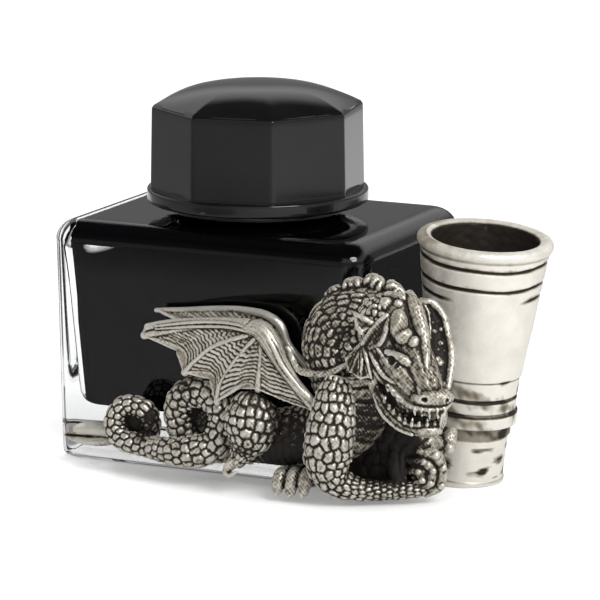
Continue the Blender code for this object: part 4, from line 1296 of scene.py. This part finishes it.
PEWTER = (0.76, 0.73, 0.66)
PATINA = (0.014, 0.011, 0.009)
antiqued = antique_pewter("pewter_antique", PEWTER, PATINA, 0.28, 0.92,
                          metal=0.72, grain=1.8, polish=0.32)
wing_metal = antique_pewter("pewter_wing", PEWTER, PATINA, 0.09, 0.84,
                            metal=0.72, grain=0.8, polish=0.30)


# ---- studio ----

CAMERA_PLACE = (0.32422, -0.67419, 0.18380)
CAMERA_AZIMUTH = 25.1
CAMERA_ELEVATION = 11.82
CAMERA_LENS = 252.7


def make_camera():
    """A long lens a little above the cap, off to the cup's side."""
    data = bpy.data.cameras.new("camera")
    data.lens = CAMERA_LENS
    data.sensor_width = 36.0
    data.clip_start = 0.01
    ob = link_new("camera", data)
    ob.location = CAMERA_PLACE
    ob.rotation_euler = (math.radians(90 - CAMERA_ELEVATION), 0.0, math.radians(CAMERA_AZIMUTH))
    bpy.context.scene.camera = ob


# Patches painted on the floor that only reflections show, standing for studio cards: centre, full radius,
# outer radius, grey
MIRRORED_CARDS = (((-0.09, -0.27), 0.100, 0.120, 0.15), ((0.115, 0.165), 0.065, 0.100, 0.015),
                  ((-0.13, 0.21), 0.120, 0.160, 0.95), ((0.07, 0.33), 0.090, 0.120, 0.95))
# A small patch of the floor that glows only in reflections: the painted glint at the top left of the
# bottle's front
GLINT_PLACE = (-0.1028, -0.1722, 0.0)
GLINT_POWER = 22.0
GLINT_FULL, GLINT_EDGE = 0.0012, 0.0065
# A black flag in front on the left, which keeps the bottle's front shoulder dark: the way to it,
# and the distances on the unit sphere at which it is full and at which it ends
FLAG_WAY = (-0.42, -0.73, 0.54)
FLAG_FULL, FLAG_EDGE = 0.26, 0.42
# What is mirrored of the surround: height of the direction and grey
HORIZON = ((0.0, 0.25), (0.22, 0.26), (0.40, 0.85), (0.60, 0.70), (0.74, 0.04), (1.0, 0.02))


def floor_material():
    """Pale board that glows evenly. Reflections show it painted dimmer, lighter towards +X, with dark and
    white patches standing for studio cards, so that glass and cap stay black with bright edges; seen
    through the glass it glows brighter, as painted light, and a small patch glows as a painted glint."""
    m = Nodes(bpy.data.materials.new("pale_board"))
    place = m.place()
    mirrored = m.ramp(m.scalar(m.split(place)["X"], 0.0, 1.0, -0.05, 0.30),
                      [(0.0, (0.36, 0.36, 0.36)), (1.0, (0.62, 0.62, 0.61))])
    for (x, y), inner, outer, grey in MIRRORED_CARDS:
        card = m.scalar(m.distance(place, (x, y, 0.0)), 1.0, 0.0, inner, outer)
        mirrored = m.mix(card, mirrored, (grey, grey, grey, 1.0))
    path = m.add("ShaderNodeLightPath")
    glossy = path.outputs["Is Glossy Ray"]
    colour = m.mix(glossy, (0.93, 0.93, 0.93, 1.0), mirrored)
    # the floor glows evenly white to the camera, not in reflections, and brighter through the glass:
    # painted light on the floor under the bottle
    floor_glow = m.math("ADD", m.scalar(glossy, 0.20, 0.0),
                 m.scalar(path.outputs["Is Transmission Ray"], 0.0, 0.55))
    # painted glint: a small patch that glows only in reflections
    glint = m.math("MULTIPLY", glossy,
                   m.scalar(m.distance(place, GLINT_PLACE), GLINT_POWER, 0.0, GLINT_FULL, GLINT_EDGE))
    m.set(Base_Color=colour, Roughness=m.scalar(m.noise(500.0), 0.22, 0.3), Specular_IOR_Level=0.25,
          Emission_Color=(1.0, 1.0, 1.0, 1.0), Emission_Strength=m.math("ADD", floor_glow, glint))
    return m.material


def make_floor():
    """A wide pale floor."""
    bpy.ops.mesh.primitive_plane_add(size=6.0)
    ob = bpy.context.object
    ob.name = "floor"
    ob.data.materials.append(floor_material())


def softbox(name, place, aim, size, power):
    """A rectangular soft light."""
    data = bpy.data.lights.new(name, "AREA")
    data.shape = "RECTANGLE"
    data.size, data.size_y = size
    data.energy = power
    ob = link_new(name, data)
    ob.location = place
    way = Vector(aim) - Vector(place)
    ob.rotation_euler = way.to_track_quat("-Z", "Y").to_euler()
    return ob


def make_world():
    """White surround, but mirrored by shiny things as a dim horizon under a dark ceiling."""
    world = bpy.data.worlds.new("studio")
    world.cycles.sampling_method = "NONE"
    w = Nodes(world)
    seen = w.tree.nodes["Background"]
    seen.inputs["Color"].default_value = (1.0, 1.0, 1.0, 1.0)
    way = w.add("ShaderNodeTexCoord").outputs["Generated"]
    horizon = w.ramp(w.split(way)["Z"], [(height, (grey, grey, grey)) for height, grey in HORIZON])
    flag = w.scalar(w.distance(way, FLAG_WAY), 0.06, 1.0, FLAG_FULL, FLAG_EDGE)
    mirrored = w.add("ShaderNodeBackground", (("Color", horizon), ("Strength", flag)))
    glossy = w.add("ShaderNodeLightPath").outputs["Is Glossy Ray"]
    w.mix_shaders(glossy, seen.outputs["Background"], mirrored.outputs["Background"], "World Output")
    bpy.context.scene.world = world


def make_studio():
    """Soft lights: a key on the right, and a top light that is not mirrored."""
    make_world()
    softbox("key", (0.55, -0.35, 0.55), (0.02, 0, 0.03), (0.38, 0.38), 4.4)
    top = softbox("top", (-0.05, 0.15, 0.7), (0, 0, 0.02), (0.6, 0.4), 1.2)
    top.visible_glossy = False
    bpy.context.scene.view_settings.view_transform = "Standard"
    bpy.context.scene.view_settings.look = "None"


make_bottle()
make_ink()
make_cap()
make_cup()
make_torso()
make_neck()
make_head()
make_near_wing()
make_far_wing()
make_near_foreleg()
make_far_foreleg()
make_hind_leg()
make_tail_coil()
make_tail_end()
dress_plain_nodes()
make_floor()
make_studio()
make_camera()
